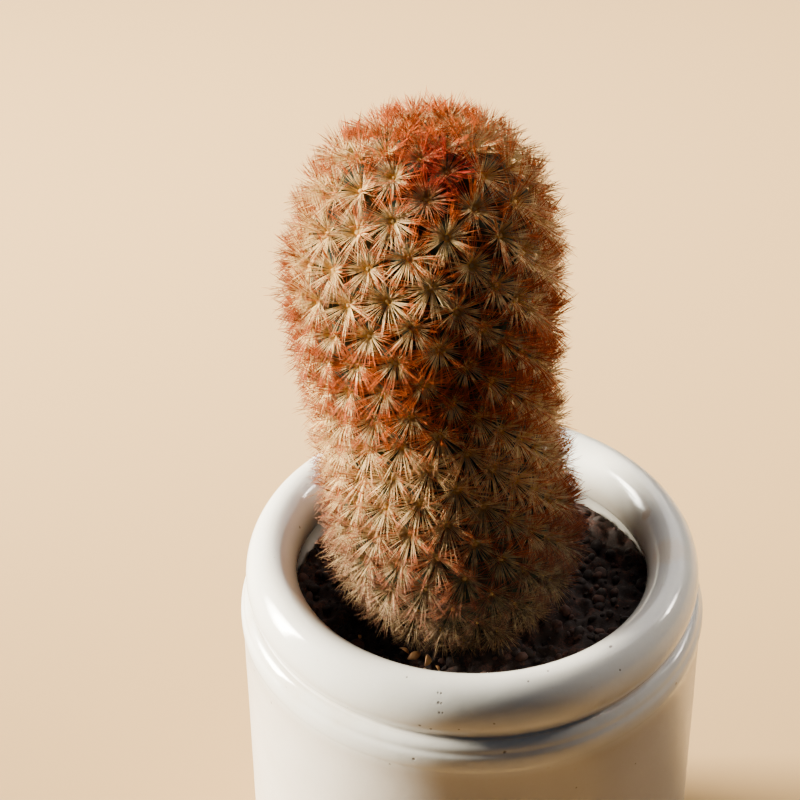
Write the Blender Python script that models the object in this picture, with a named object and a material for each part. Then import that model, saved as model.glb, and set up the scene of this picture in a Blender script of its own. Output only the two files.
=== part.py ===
"""A columnar mammillaria in a stoneware jar: the jar, its potting mix and the plant, each one solid.

Metres, +Z up. The origin is the centre of the jar's foot, and -Y is the side that faces the viewer.
"""

import math
import random
from itertools import product

import bpy
import numpy as np
from mathutils import Vector
from mathutils.geometry import delaunay_2d_cdt

# The jar is a cylinder with a rolled lip over a groove and a rounded shoulder.
JAR_HEIGHT = 0.105
JAR_RADIUS = 0.04505
JAR_FLOOR = 0.006
JAR_INSIDE_RADIUS = 0.0363
JAR_INSIDE_CORNER = 0.004
JAR_SEGMENTS = 56
LIP_CENTRE_RADIUS = 0.039
LIP_HALF_WIDTH = 0.005
LIP_HALF_HEIGHT = 0.0065
GROOVE_RADIUS = 0.0428
SHOULDER_RADIUS = 0.0454
SHOULDER_DROP = 0.0092
SHOULDER_TOP = 0.0047
SHOULDER_FOOT = 0.0115
FOOT_RADIUS = 0.0432
FOOT_HEIGHT = 0.0035
FOOT_WIDTH = 0.0045
FOOT_RECESS = 0.0015
LIP_LEVEL = JAR_HEIGHT - LIP_HALF_HEIGHT

# The potting mix is higher at the back right than at the front left.
TOUCHING_GAP = 0.0003
SOIL_LEVEL = LIP_LEVEL - 0.0085
SOIL_AT_STEM = LIP_LEVEL - 0.0104
SOIL_RISE_RIGHT = 0.0014
SOIL_RISE_BACK = 0.0010
SOIL_SEGMENTS = 48
SOIL_RINGS = 6
CRUMB_HEIGHT = 0.0007
CRUMB_WAVES = 870, 790
CRUMB_BENDS = 2.0, 1.7
CRUMB_BEND_WAVES = 410, 530

# The plant stands a little left of the middle and leans to the left, with its crown turned back up.
PLANT_X = -0.0029
PLANT_Y = 0.0011
PLANT_LEAN = -0.0065
LEAN_HEIGHT = 0.078
CROWN_RETURN = 0.0014
RETURN_START = 0.062
RETURN_HEIGHT = 0.036
ROOT_DEPTH = 0.0150
ROOT_RADIUS = 0.0090
NECK_RADIUS = 0.0120
NECK_LEVEL = LIP_LEVEL - 0.0112
# Radius, and height above the middle of the lip, of the skin that carries the areoles.
STEM_OUTLINE = (
    (0.0120, -0.0112),
    (0.0150, -0.0085),
    (0.0181, -0.0030),
    (0.0206, 0.0055),
    (0.0209, 0.0145),
    (0.0199, 0.0290),
    (0.0199, 0.0430),
    (0.0211, 0.0580),
    (0.0213, 0.0680),
    (0.0199, 0.0780),
    (0.0161, 0.0866),
    (0.0105, 0.0922),
    (0.0048, 0.0945),
    (0.0000, 0.0941),
)

# Areoles lie on the spiral of the golden angle, one on each tubercle, and get closer at the crown.
GOLDEN_ANGLE = math.pi * (3 - math.sqrt(5))
AREOLE_SPACING = 0.0071
AREOLE_SHARE = 0.92
CROWN_SPACING = 0.0038
CROWN_REACH = 0.014
AREOLE_RADIUS = 0.0008
AREOLE_RISE = 0.0005
TUBERCLE_DEPTH = 0.0038
LOWEST_AREOLE = 0.0062
CROWN_LEFT_FREE = 0.3
NECK_POINTS = 14
ROOT_POINTS = 10
ROOT_TURN = 0.3

# Spines radiate from each areole in a star, steep and flat ones by turns.
SPINE_LENGTH = 0.0058
YOUNG_SPINE_POWER = 0.3
OLD_SPINE_SHARE = 0.55
OLD_SPINE_HEIGHT = 0.014
SPINE_LIFTS = (48, 22, 35)
SPINE_LIFT_VARIES = 5
SPINE_TURNS = (14, 20, 8, 27, 2, 34, -6, -14, -22)
SPINE_RAISED = (0, 10, 20)
EXTRA_SPINES = 2
EXTRA_FROM_SIZE = 0.75
SPINE_SHORTER = (1.0, 0.9, 0.8, 0.65, 0.5, 0.35)
SPINE_ROOT_RADIUS = 0.00045
SPINE_SAMPLES = 17
SPINE_FREE_FROM = 0.15
SISTERS_FREE_FROM = 0.5
SPINE_CLEARANCE = 0.0002
FAR = 1.0
SOIL_CLEARANCE = 0.0006
RANDOM_SEED = 11

GLAZE_COLOUR = (0.66, 0.62, 0.54)
SOIL_COLOUR = (0.030, 0.018, 0.012)
SPINE_COLOUR = (0.46, 0.24, 0.11)


def material(name, colour, roughness):
    made = bpy.data.materials.new(name)
    made.use_nodes = True
    made.diffuse_color = (*colour, 1.0)
    shader = made.node_tree.nodes["Principled BSDF"]
    shader.inputs["Base Color"].default_value = (*colour, 1.0)
    shader.inputs["Roughness"].default_value = roughness
    shader.inputs["Metallic"].default_value = 0.0
    return made


def solid(name, points, faces, finish, smooth_angle):
    """A mesh object, smooth except at edges sharper than smooth_angle degrees."""
    mesh = bpy.data.meshes.new(name)
    mesh.from_pydata([tuple(point) for point in points], [], faces)
    mesh.materials.append(finish)
    if smooth_angle:
        mesh.shade_smooth()
        mesh.set_sharp_from_angle(angle=math.radians(smooth_angle))
    made = bpy.data.objects.new(name, mesh)
    bpy.context.scene.collection.objects.link(made)
    return made


def unit(vectors):
    return vectors / np.linalg.norm(vectors, axis=-1, keepdims=True)


def eased(fraction):
    """A smooth step from 0 to 1."""
    fraction = np.clip(fraction, 0.0, 1.0)
    return fraction * fraction * (3 - 2 * fraction)


def arc(centre, half_width, half_height, start, end, count):
    """Points of an ellipse from the start angle to the end angle, in degrees."""
    angles = np.radians(np.linspace(start, end, count))
    return [
        (centre[0] + half_width * math.cos(angle), centre[1] + half_height * math.sin(angle))
        for angle in angles
    ]


def jar_outline():
    """Radius and height from the middle of the inside floor, over the lip and down to the foot."""
    lip = (LIP_CENTRE_RADIUS, LIP_LEVEL)
    inside = JAR_INSIDE_RADIUS - JAR_INSIDE_CORNER
    inside_angle = 360 - math.degrees(math.acos((JAR_INSIDE_RADIUS - LIP_CENTRE_RADIUS) / LIP_HALF_WIDTH))
    outside_angle = -math.degrees(math.acos((GROOVE_RADIUS - LIP_CENTRE_RADIUS) / LIP_HALF_WIDTH))
    shoulder_height = SHOULDER_DROP - SHOULDER_TOP
    shoulder_width = SHOULDER_RADIUS - GROOVE_RADIUS
    return [
        (0.0, JAR_FLOOR),
        *arc((inside, JAR_FLOOR + JAR_INSIDE_CORNER), JAR_INSIDE_CORNER, JAR_INSIDE_CORNER, -90, 0, 3),
        *arc(lip, LIP_HALF_WIDTH, LIP_HALF_HEIGHT, inside_angle, outside_angle, 13),
        (GROOVE_RADIUS, LIP_LEVEL - SHOULDER_TOP),
        *arc((GROOVE_RADIUS, LIP_LEVEL - SHOULDER_DROP), shoulder_width, shoulder_height, 80, -25, 5),
        (JAR_RADIUS, LIP_LEVEL - SHOULDER_FOOT),
        *arc((FOOT_RADIUS, FOOT_HEIGHT), JAR_RADIUS - FOOT_RADIUS, FOOT_HEIGHT, 0, -90, 4),
        (FOOT_RADIUS - FOOT_WIDTH, 0.0),
        (FOOT_RADIUS - FOOT_WIDTH - FOOT_RECESS, FOOT_RECESS),
        (0.0, FOOT_RECESS),
    ]


def make_pot():
    """The jar's outline turned about its axis."""
    outline = jar_outline()
    mesh = bpy.data.meshes.new("pot")
    edges = [(i, i + 1) for i in range(len(outline) - 1)]
    mesh.from_pydata([(radius, 0.0, height) for radius, height in outline], edges, [])
    mesh.materials.append(material("ivory_glaze", GLAZE_COLOUR, 0.3))
    pot = bpy.data.objects.new("pot", mesh)
    bpy.context.scene.collection.objects.link(pot)
    turn = pot.modifiers.new("turn", "SCREW")
    turn.steps = JAR_SEGMENTS
    turn.render_steps = JAR_SEGMENTS
    turn.use_merge_vertices = True
    turn.merge_threshold = 0.00001
    turn.use_smooth_shade = True


def soil_height(x, y):
    """The top of the potting mix: a slope with crumbs as two crossed ripples of unlike pitch."""
    slope = SOIL_RISE_RIGHT * x / JAR_INSIDE_RADIUS + SOIL_RISE_BACK * y / JAR_INSIDE_RADIUS
    across = np.sin(CRUMB_WAVES[0] * x + CRUMB_BENDS[0] * np.sin(CRUMB_BEND_WAVES[0] * y))
    along = np.sin(CRUMB_WAVES[1] * y + CRUMB_BENDS[1] * np.sin(CRUMB_BEND_WAVES[1] * x))
    return SOIL_LEVEL + slope + CRUMB_HEIGHT * across * along


def ring(radius, centre_x, centre_y):
    angles = 2 * math.pi * np.arange(SOIL_SEGMENTS) / SOIL_SEGMENTS
    return np.stack([centre_x + radius * np.cos(angles), centre_y + radius * np.sin(angles)], axis=1)


def make_soil():
    """A plug that fills the jar, with a tapered hole for the root stub."""
    clear = TOUCHING_GAP / math.cos(math.pi / SOIL_SEGMENTS)
    outer = JAR_INSIDE_RADIUS * math.cos(math.pi / JAR_SEGMENTS) - clear
    hole_top = NECK_RADIUS + 2 * clear
    hole_bottom = ROOT_RADIUS + 2 * clear
    hole_floor = NECK_LEVEL - ROOT_DEPTH - TOUCHING_GAP
    floor = JAR_FLOOR + TOUCHING_GAP
    rings = []
    for step in np.linspace(0.0, 1.0, SOIL_RINGS):
        middle = (1 - step) * np.array([PLANT_X, PLANT_Y])
        flat = ring(hole_top + step * (outer - hole_top), *middle)
        rings.append(np.column_stack([flat, soil_height(flat[:, 0], flat[:, 1])]))
    rings[0][:, 2] = SOIL_AT_STEM
    for radius, height in ((outer, floor + JAR_INSIDE_CORNER), (outer - JAR_INSIDE_CORNER, floor)):
        flat = ring(radius, 0.0, 0.0)
        rings.append(np.column_stack([flat, np.full(SOIL_SEGMENTS, height)]))
    bottom = ring(hole_bottom, PLANT_X, PLANT_Y)
    rings.insert(0, np.column_stack([bottom, np.full(SOIL_SEGMENTS, hole_floor)]))
    points = np.concatenate([*rings, [(PLANT_X, PLANT_Y, hole_floor), (0.0, 0.0, floor)]])
    hole_middle = len(points) - 2
    floor_middle = len(points) - 1
    last = (len(rings) - 1) * SOIL_SEGMENTS
    faces = []
    for i in range(SOIL_SEGMENTS):
        after = (i + 1) % SOIL_SEGMENTS
        faces.append((hole_middle, i, after))
        faces.append((floor_middle, last + after, last + i))
        for row in range(0, last, SOIL_SEGMENTS):
            below = row + SOIL_SEGMENTS
            faces.append((row + i, below + i, below + after))
            faces.append((row + i, below + after, row + after))
    solid("soil", points, faces, material("potting_mix", SOIL_COLOUR, 0.95), 50)


def smooth_outline(points, steps):
    """A Catmull-Rom curve through the points, with this many steps between two of them."""
    points = np.array(points)
    padded = np.concatenate([[2 * points[0] - points[1]], points, [2 * points[-1] - points[-2]]])
    t = (np.arange(steps) / steps)[:, None]
    pieces = []
    for a, b, c, d in zip(padded, padded[1:], padded[2:], padded[3:]):
        pieces.append(b + 0.5 * t * (c - a + t * (2 * a - 5 * b + 4 * c - d + t * (3 * (b - c) + d - a))))
    return np.concatenate([*pieces, [points[-1]]])


class Stem:
    """The skin of the plant as a surface of revolution about a leaning line, by length along its outline."""

    def __init__(self):
        outline = smooth_outline(STEM_OUTLINE, 16)
        self.radius = outline[:, 0]
        self.height = outline[:, 1] + LIP_LEVEL
        steps = np.hypot(np.diff(self.radius), np.diff(self.height))
        self.length = np.concatenate([[0.0], np.cumsum(steps)])
        self.across = np.gradient(self.radius, self.length)
        self.up = np.gradient(self.height, self.length)

    def at(self, length, angle):
        """The point and the outward direction at a length from the neck and an angle about the axis."""
        radius = np.interp(length, self.length, self.radius)
        height = np.interp(length, self.length, self.height)
        across = np.interp(length, self.length, self.across)
        up = np.interp(length, self.length, self.up)
        lean = PLANT_LEAN * eased((height - SOIL_LEVEL) / LEAN_HEIGHT)
        lean = lean + CROWN_RETURN * eased((height - LIP_LEVEL - RETURN_START) / RETURN_HEIGHT)
        point = np.stack(
            [PLANT_X + lean + radius * np.cos(angle), PLANT_Y + radius * np.sin(angle), height], axis=-1
        )
        outward = np.stack([up * np.cos(angle), up * np.sin(angle), -across], axis=-1)
        return point, unit(outward)

    def spacing(self, length):
        """The distance between areoles: even on the column, and closer towards the crown."""
        to_crown = (self.length[-1] - length) / CROWN_REACH
        return CROWN_SPACING + (AREOLE_SPACING - CROWN_SPACING) * np.clip(to_crown, 0.0, 1.0)

    def areoles(self):
        """The length and angle of each areole: equal turns, and steps that keep the area for each one."""
        area = AREOLE_SHARE * self.spacing(self.length) ** 2
        rate = 2 * math.pi * self.radius / area
        steps = 0.5 * (rate[1:] + rate[:-1]) * np.diff(self.length)
        count = np.concatenate([[0.0], np.cumsum(steps)])
        first = np.interp(LOWEST_AREOLE, self.length, count)
        turns = np.arange(first, count[-1] - CROWN_LEFT_FREE)
        return np.interp(turns, count, self.length), np.arange(len(turns)) * GOLDEN_ANGLE


def on_plane(places, stem):
    """The skin laid flat round its crown, angles kept and lengths stretched alike both ways."""
    along = np.concatenate([[-ROOT_DEPTH], stem.length[:-1]])
    radius = np.concatenate([[ROOT_RADIUS], stem.radius[:-1]])
    steps = 2 * np.diff(along) / (radius[1:] + radius[:-1])
    stretch = np.concatenate([[0.0], np.cumsum(steps)])
    distance = np.exp(-np.interp(places[:, 0], along, stretch))
    return np.stack([distance * np.cos(places[:, 1]), distance * np.sin(places[:, 1])], axis=1)


def triangles_between(flat):
    """Each point joined to its nearest ones, and the outermost ones to the root's middle, a last point."""
    points = [Vector(point) for point in flat]
    corners = delaunay_2d_cdt(points, [], [], 0, 1e-9)[2]
    edges = {(a, b) for triangle in corners for a, b in zip(triangle, triangle[1:] + triangle[:1])}
    rim = [(b, a, len(flat)) for a, b in edges if (b, a) not in edges]
    return np.array([*corners, *sorted(rim)])


def faces_round_each(corners, count):
    """For each point, the indices of the triangles round it, in anticlockwise order."""
    following = [{} for _ in range(count)]
    for index, (a, b, c) in enumerate(corners):
        following[a][b] = (c, index)
        following[b][c] = (a, index)
        following[c][a] = (b, index)
    rounds = []
    for links in following:
        start = next(iter(links))
        around = []
        here = start
        while True:
            here, index = links[here]
            around.append(index)
            if here == start:
                break
        rounds.append(around)
    return rounds


class Spines:
    """Spines placed so far, as straight tapering pins, to keep the next one clear of them."""

    def __init__(self):
        self.roots = np.empty((0, 3))
        self.tips = np.empty((0, 3))
        self.owners = np.empty(0, int)
        self.steps = np.linspace(SPINE_FREE_FROM, 1.0, SPINE_SAMPLES)

    def along(self, roots, tips):
        return roots[:, None] + self.steps[None, :, None] * (tips - roots)[:, None]

    def clear(self, root, tip, owner):
        """The least gap to the spines near it, less both thicknesses. Sisters on one areole part halfway."""
        near = np.abs(self.roots - root).max(axis=1) < 2 * SPINE_LENGTH + SPINE_ROOT_RADIUS
        if not near.any():
            return FAR
        mine = self.along(root[None], tip[None])[0]
        others = self.along(self.roots[near], self.tips[near])
        thickness = SPINE_ROOT_RADIUS * (1 - self.steps)
        gaps = np.linalg.norm(others[:, :, None] - mine[None, None], axis=-1)
        gaps = gaps - thickness[None, :, None] - thickness[None, None]
        shared = self.owners[near] == owner
        inner = self.steps < SISTERS_FREE_FROM
        gaps[np.ix_(shared, inner)] = FAR
        gaps[np.ix_(shared, ~inner, inner)] = FAR
        return gaps.min()

    def add(self, root, tip, owner):
        self.roots = np.concatenate([self.roots, root[None]])
        self.tips = np.concatenate([self.tips, tip[None]])
        self.owners = np.append(self.owners, owner)


def above_soil(root, direction, length):
    """The tip of a spine, nearer where it would reach the potting mix, or None where no spine has room."""
    tip = root + length * direction
    lowest = soil_height(tip[0], tip[1]) + SOIL_CLEARANCE
    if tip[2] >= lowest:
        return tip
    room = (root[2] - lowest) / (root[2] - tip[2])
    return root + room * length * direction if room > SPINE_SHORTER[-1] else None


def spine_length(height, size):
    """Full length on the column, less where the spines are young at the crown or worn near the soil."""
    worn = OLD_SPINE_SHARE + (1 - OLD_SPINE_SHARE) * eased((height - SOIL_LEVEL) / OLD_SPINE_HEIGHT)
    return SPINE_LENGTH * worn * size**YOUNG_SPINE_POWER


def spine_tip(spines, owner, root, length, outward, away, side, lift):
    """The tip of a spine, turned and lifted on its areole, then shortened, until it is clear of others."""
    best_gap = -FAR
    best_tip = None
    for shorter, raised, turn in product(SPINE_SHORTER, SPINE_RAISED, SPINE_TURNS):
        heading = math.cos(math.radians(turn)) * away + math.sin(math.radians(turn)) * side
        steepness = lift + math.radians(raised)
        direction = math.cos(steepness) * heading + math.sin(steepness) * outward
        tip = above_soil(root, direction, length * shorter)
        if tip is None:
            continue
        gap = spines.clear(root, tip, owner)
        if gap > SPINE_CLEARANCE:
            return tip
        if gap > best_gap:
            best_gap = gap
            best_tip = tip
    return best_tip


def root_ring():
    """The places of the root stub's lower edge: angles about the plant's foot, and the points there."""
    angles = 2 * math.pi * (np.arange(ROOT_POINTS) + ROOT_TURN) / ROOT_POINTS
    level = np.full(ROOT_POINTS, NECK_LEVEL - ROOT_DEPTH)
    x = PLANT_X + ROOT_RADIUS * np.cos(angles)
    y = PLANT_Y + ROOT_RADIUS * np.sin(angles)
    return angles, np.stack([x, y, level], axis=1)


def make_cactus():
    """Tubercles as cells round the areoles, with a star of spines raised from each areole's facets."""
    stem = Stem()
    length, angle = stem.areoles()
    neck_angle = 2 * math.pi * np.arange(NECK_POINTS) / NECK_POINTS
    root_angle, root_points = root_ring()
    root_middle = (PLANT_X, PLANT_Y, NECK_LEVEL - ROOT_DEPTH)
    skin, skin_outward = stem.at(np.append(length, 0.0 * neck_angle), np.append(angle, neck_angle))
    points = np.concatenate([skin, root_points, [root_middle]])
    outward = np.concatenate([skin_outward, np.tile((0.0, 0.0, -1.0), (ROOT_POINTS + 1, 1))])
    places = np.stack(
        [
            np.concatenate([length, 0.0 * neck_angle, np.full(ROOT_POINTS, -ROOT_DEPTH)]),
            np.concatenate([angle, neck_angle, root_angle]),
        ],
        axis=1,
    )
    corners = triangles_between(on_plane(places, stem))
    size = stem.spacing(length) / AREOLE_SPACING
    depth = np.zeros(len(points))
    depth[: len(length)] = TUBERCLE_DEPTH * size
    inward = -unit(outward[corners].mean(axis=1))
    valleys = points[corners].mean(axis=1) + depth[corners].mean(axis=1)[:, None] * inward
    vertices = list(valleys)
    faces = []
    spines = Spines()
    draw = random.Random(RANDOM_SEED)
    for index, around in enumerate(faces_round_each(corners, len(points))):
        if index < len(length):
            place = (points[index], outward[index], size[index])
            add_tubercle(vertices, faces, spines, draw, index, place, around)
        else:
            add_plain_cell(vertices, faces, points[index], around)
    solid("cactus", vertices, faces, material("spines", SPINE_COLOUR, 0.7), 0)


def add_plain_cell(vertices, faces, point, around):
    """A fan from a point of the neck or the root to the cell's corners."""
    middle = len(vertices)
    vertices.append(point)
    for here, after in zip(around, around[1:] + around[:1]):
        faces.append((middle, here, after))


def add_tubercle(vertices, faces, spines, draw, index, place, around):
    """One tubercle: flanks that rise from the valleys to a small ring, and a spine on each facet there."""
    point, outward, size = place
    first = len(vertices)
    heads = add_flanks(vertices, faces, place, around)
    middle = len(vertices)
    top = point + AREOLE_RISE * size * outward
    vertices.append(top)
    sides = len(heads)
    length = spine_length(point[2], size)
    for i in range(sides):
        after = (i + 1) % sides
        here_ring = first + i
        after_ring = first + after
        away = unit(heads[i] + heads[after])
        side = np.cross(outward, away)
        root = (vertices[here_ring] + vertices[after_ring] + top) / 3
        varied = draw.uniform(-SPINE_LIFT_VARIES, SPINE_LIFT_VARIES)
        lift = math.radians(SPINE_LIFTS[(i + index) % len(SPINE_LIFTS)] + varied)
        tip = spine_tip(spines, index, root, length, outward, away, side, lift)
        if tip is None:
            faces.append((here_ring, after_ring, middle))
            continue
        spines.add(root, tip, index)
        end = len(vertices)
        vertices.append(tip)
        faces.append((here_ring, after_ring, end))
        faces.append((after_ring, middle, end))
        faces.append((middle, here_ring, end))


def add_flanks(vertices, faces, place, around):
    """Flanks from the valleys to a ring with a point over each valley, and one more in the widest gaps."""
    point, outward, size = place
    towards = np.array([vertices[valley] for valley in around]) - point
    towards = unit(towards - (towards @ outward)[:, None] * outward)
    following = np.roll(towards, -1, axis=0)
    extra = EXTRA_SPINES if size > EXTRA_FROM_SIZE else 0
    widest = np.argsort((towards * following).sum(axis=1))[:extra]
    first = len(vertices)
    heads = []
    for i, valley in enumerate(around):
        next_valley = around[(i + 1) % len(around)]
        here = first + len(heads)
        heads.append(towards[i])
        if i in widest:
            heads.append(unit(towards[i] + following[i]))
            faces.append((here, valley, here + 1))
            here += 1
        faces.append((here, valley, next_valley))
        faces.append((here, next_valley, first if i == len(around) - 1 else here + 1))
    vertices.extend(point + AREOLE_RADIUS * size * np.array(heads))
    return heads


def main():
    for old in list(bpy.data.objects):
        bpy.data.objects.remove(old, do_unlink=True)
    make_pot()
    make_soil()
    make_cactus()


main()
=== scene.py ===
"""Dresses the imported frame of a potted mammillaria: glazed jar, potting mix, stem, areoles and spines.

Metres, +Z up, in the frame's own coordinates. The viewer is on the -Y side.
"""

import math
from itertools import product

import bpy
import numpy as np
from mathutils import Matrix, Vector


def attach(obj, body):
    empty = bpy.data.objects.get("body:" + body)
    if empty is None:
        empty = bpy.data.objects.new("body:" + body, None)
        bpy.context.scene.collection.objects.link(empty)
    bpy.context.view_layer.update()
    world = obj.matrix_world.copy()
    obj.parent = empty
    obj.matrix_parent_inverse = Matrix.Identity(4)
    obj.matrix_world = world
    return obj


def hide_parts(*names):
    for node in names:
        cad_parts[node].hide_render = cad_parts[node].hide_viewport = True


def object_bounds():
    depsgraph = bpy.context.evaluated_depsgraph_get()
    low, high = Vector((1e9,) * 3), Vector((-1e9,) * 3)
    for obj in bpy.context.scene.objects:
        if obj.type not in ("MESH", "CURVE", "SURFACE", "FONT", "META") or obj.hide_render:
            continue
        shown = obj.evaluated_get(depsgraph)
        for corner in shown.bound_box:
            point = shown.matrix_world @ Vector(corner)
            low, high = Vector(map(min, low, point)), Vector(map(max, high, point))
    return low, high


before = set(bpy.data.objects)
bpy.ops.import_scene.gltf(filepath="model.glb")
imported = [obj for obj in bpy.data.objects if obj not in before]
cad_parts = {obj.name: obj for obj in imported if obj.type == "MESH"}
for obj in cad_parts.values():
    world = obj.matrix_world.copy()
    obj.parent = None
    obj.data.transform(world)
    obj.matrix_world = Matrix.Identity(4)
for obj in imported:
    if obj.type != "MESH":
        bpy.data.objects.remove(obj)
FRAME_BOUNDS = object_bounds()

bl_info = {
    "name": "Potted Mammillaria",
    "version": (1, 0, 0),
    "blender": (4, 5, 0),
    "location": "3D View > Sidebar > Mammillaria",
    "description": "Builds a stoneware jar, its potting mix and a columnar mammillaria, spine by spine",
    "category": "Object",
}

# The jar, as its solid gives it.
JAR_HEIGHT = 0.105
JAR_RADIUS = 0.04505
JAR_FLOOR = 0.006
JAR_INSIDE_RADIUS = 0.0363
JAR_INSIDE_CORNER = 0.004
LIP_CENTRE_RADIUS = 0.039
LIP_HALF_WIDTH = 0.005
LIP_HALF_HEIGHT = 0.0065
GROOVE_RADIUS = 0.0428
SHOULDER_RADIUS = 0.0454
SHOULDER_DROP = 0.0092
SHOULDER_TOP = 0.0047
SHOULDER_FOOT = 0.0115
FOOT_RADIUS = 0.0432
FOOT_HEIGHT = 0.0035
FOOT_WIDTH = 0.0045
FOOT_RECESS = 0.0015
LIP_LEVEL = JAR_HEIGHT - LIP_HALF_HEIGHT
GROOVE_LEVEL = LIP_LEVEL - SHOULDER_TOP

# A shallow furrow round the shoulder, between two soft ridges.
FURROW_LEVEL = LIP_LEVEL - 0.0068
FURROW_DEPTH = 0.00022
FURROW_REACH = 0.0007

# Pitch of the glaze's slow waves, and the height over which they fade in above the foot.
WAVE_PITCH = 0.016
WAVE_FADE = 0.01

# Marks on the jar: angle in degrees, radius, height above the lip's middle, size.
CHIP = (16.6, 0.0356, 0.0048, 0.0011)
CHIP_DEPTH = 0.00004
STAIN = (-3.5, 0.0377, 0.0063, 0.0032)
PITS = (
    (-97.9, 0.0418, 0.0054, 0.00018),
    (-97.2, 0.0418, 0.0053, 0.00018),
    (-97.6, 0.0429, 0.0040, 0.00024),
    (-96.9, 0.0429, 0.0039, 0.00020),
    (-97.2, 0.0437, 0.0023, 0.00022),
    (-96.5, 0.0437, 0.0023, 0.00020),
    (-101.9, 0.0439, -0.0015, 0.00024),
    (-102.9, 0.0454, -0.0087, 0.00026),
    (-81.8, 0.0449, -0.0065, 0.00034),
    (-92.6, 0.0439, -0.0014, 0.00018),
    (-75.1, 0.0404, 0.0063, 0.00018),
    (-69.1, 0.0391, 0.0065, 0.00018),
    (-50.7, 0.0430, 0.0039, 0.00020),
    (-106.6, 0.0401, 0.0063, 0.00016),
)

# The potting mix, as its solid gives it, how far it hangs back at the wall, and the pitch of its lumps.
TOUCHING_GAP = 0.0003
SOIL_LEVEL = LIP_LEVEL - 0.0085
SOIL_AT_STEM = LIP_LEVEL - 0.0104
SOIL_RISE_RIGHT = 0.0014
SOIL_RISE_BACK = 0.0010
CRUMB_HEIGHT = 0.0007
CRUMB_WAVES = 870, 790
CRUMB_BENDS = 2.0, 1.7
CRUMB_BEND_WAVES = 410, 530
WALL_DROP = 0.0006
COARSE_PITCH = 0.0042
FINE_PITCH = 0.0011
SOIL_RINGS = 84
SOIL_SEGMENTS = 260

# The loose lumps lie between two circles about the jar's axis.
LUMPS_FROM = 0.0165
LUMPS_TO = JAR_INSIDE_RADIUS - 0.0016

# Dry flakes by the stem's foot: x, y, turn in degrees, tilt in degrees, length.
HUSKS = (
    (-0.0127, -0.0152, 140, 25, 0.0026),
    (-0.0106, -0.0172, 35, 38, 0.0030),
    (-0.0079, -0.0185, 80, 50, 0.0032),
    (-0.0112, -0.0206, 165, 18, 0.0022),
    (-0.0087, -0.0215, 60, 30, 0.0018),
    (-0.0062, -0.0203, 110, 22, 0.0015),
    (0.0021, -0.0232, 70, 16, 0.0016),
    (0.0102, -0.0246, 150, 20, 0.0015),
    (-0.0215, -0.0112, 95, 14, 0.0014),
)
HUSK_ROWS = 9
HUSK_SIDES = 8

# The plant, as its solid gives it.
PLANT_X = -0.0029
PLANT_Y = 0.0011
PLANT_LEAN = -0.0065
LEAN_HEIGHT = 0.078
CROWN_RETURN = 0.0014
RETURN_START = 0.062
RETURN_HEIGHT = 0.036
ROOT_DEPTH = 0.0150
ROOT_RADIUS = 0.0090
NECK_RADIUS = 0.0120
NECK_LEVEL = LIP_LEVEL - 0.0112
# Radius, and height above the middle of the lip, of the skin that carries the areoles.
STEM_OUTLINE = (
    (0.0120, -0.0112),
    (0.0150, -0.0085),
    (0.0181, -0.0030),
    (0.0206, 0.0055),
    (0.0209, 0.0145),
    (0.0199, 0.0290),
    (0.0199, 0.0430),
    (0.0211, 0.0580),
    (0.0213, 0.0680),
    (0.0199, 0.0780),
    (0.0161, 0.0866),
    (0.0105, 0.0922),
    (0.0048, 0.0945),
    (0.0000, 0.0941),
)
GOLDEN_ANGLE = math.pi * (3 - math.sqrt(5))
AREOLE_SPACING = 0.0071
AREOLE_SHARE = 0.92
CROWN_SPACING = 0.0038
CROWN_REACH = 0.014
AREOLE_RADIUS = 0.0008
AREOLE_RISE = 0.0005
LOWEST_AREOLE = 0.0062
CROWN_LEFT_FREE = 0.3

# Depth of the rounded valleys between the tubercles, less than that of the solid's sharp ones.
TUBERCLE_DEPTH = 0.0026
WRINKLE_DEPTH = 0.00012
CROWN_DIMPLE = 0.0008
STEM_ROWS = 190
STEM_COLUMNS = 210
ROOT_ROWS = 8

# The cushion of wool: its rings' radius and rise and its top's rise, in felt radii and felt heights.
FELT_SIDES = 8
FELT_RINGS = ((1.15, -0.35), (1.0, 0.30), (0.62, 0.85))
FELT_TOP = 1.05
FELT_RADIUS = 0.00062
FELT_HEIGHT = 0.00072
FELT_ROUGHNESS = 0.00012

# A spine is a three-sided pin: two bands of facets and a point. Share of its length, and of its thickness.
PIN_RINGS = ((0.0, 1.0), (0.45, 1.0), (0.87, 0.80))
PIN_SIDES = 3
# Names of the spine pieces, and the height above the lip's middle up to which each one reaches.
SPINE_PIECES = (
    ("spines_foot", 0.012),
    ("spines_lower", 0.034),
    ("spines_middle", 0.056),
    ("spines_upper", 0.077),
    ("spines_crown", 0.110),
)
# The numbers that a spine has for its colour.
SPINE_VALUES = ("tone", "redness", "darkness", "dust")
# Spines in a bundle, the share of them that stray from it, how much more these scatter, and how far all
# of them close up.
BUNDLED = 4
LOOSE_SHARE = 0.3
LOOSE_SCATTER = 2.2
BUNDLE_CLOSING = 0.55
# Spreads of the random turns and lifts, in radians: of a bundle, of a whole star and of one spine.
BUNDLE_TURN = 0.14
BUNDLE_LIFT = math.radians(6)
STAR_LIFT = math.radians(3)
STAR_FACING = 0.09
SPINE_TURN = 0.13
SPINE_LIFT = math.radians(5)
# How deep a spine's root is sunk, and how far its tip stays off the solid's potting mix and the frame's top.
SPINE_SUNK = 0.00015
SOIL_CLEARANCE = 0.0006
TOP_CLEARANCE = 0.0001
# The random bends, as a share of the length: the spread sideways, and the middle and spread downwards.
SIDE_BEND = 0.05
DOWN_BEND = 0.05
DOWN_BEND_SPREAD = 0.045
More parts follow.
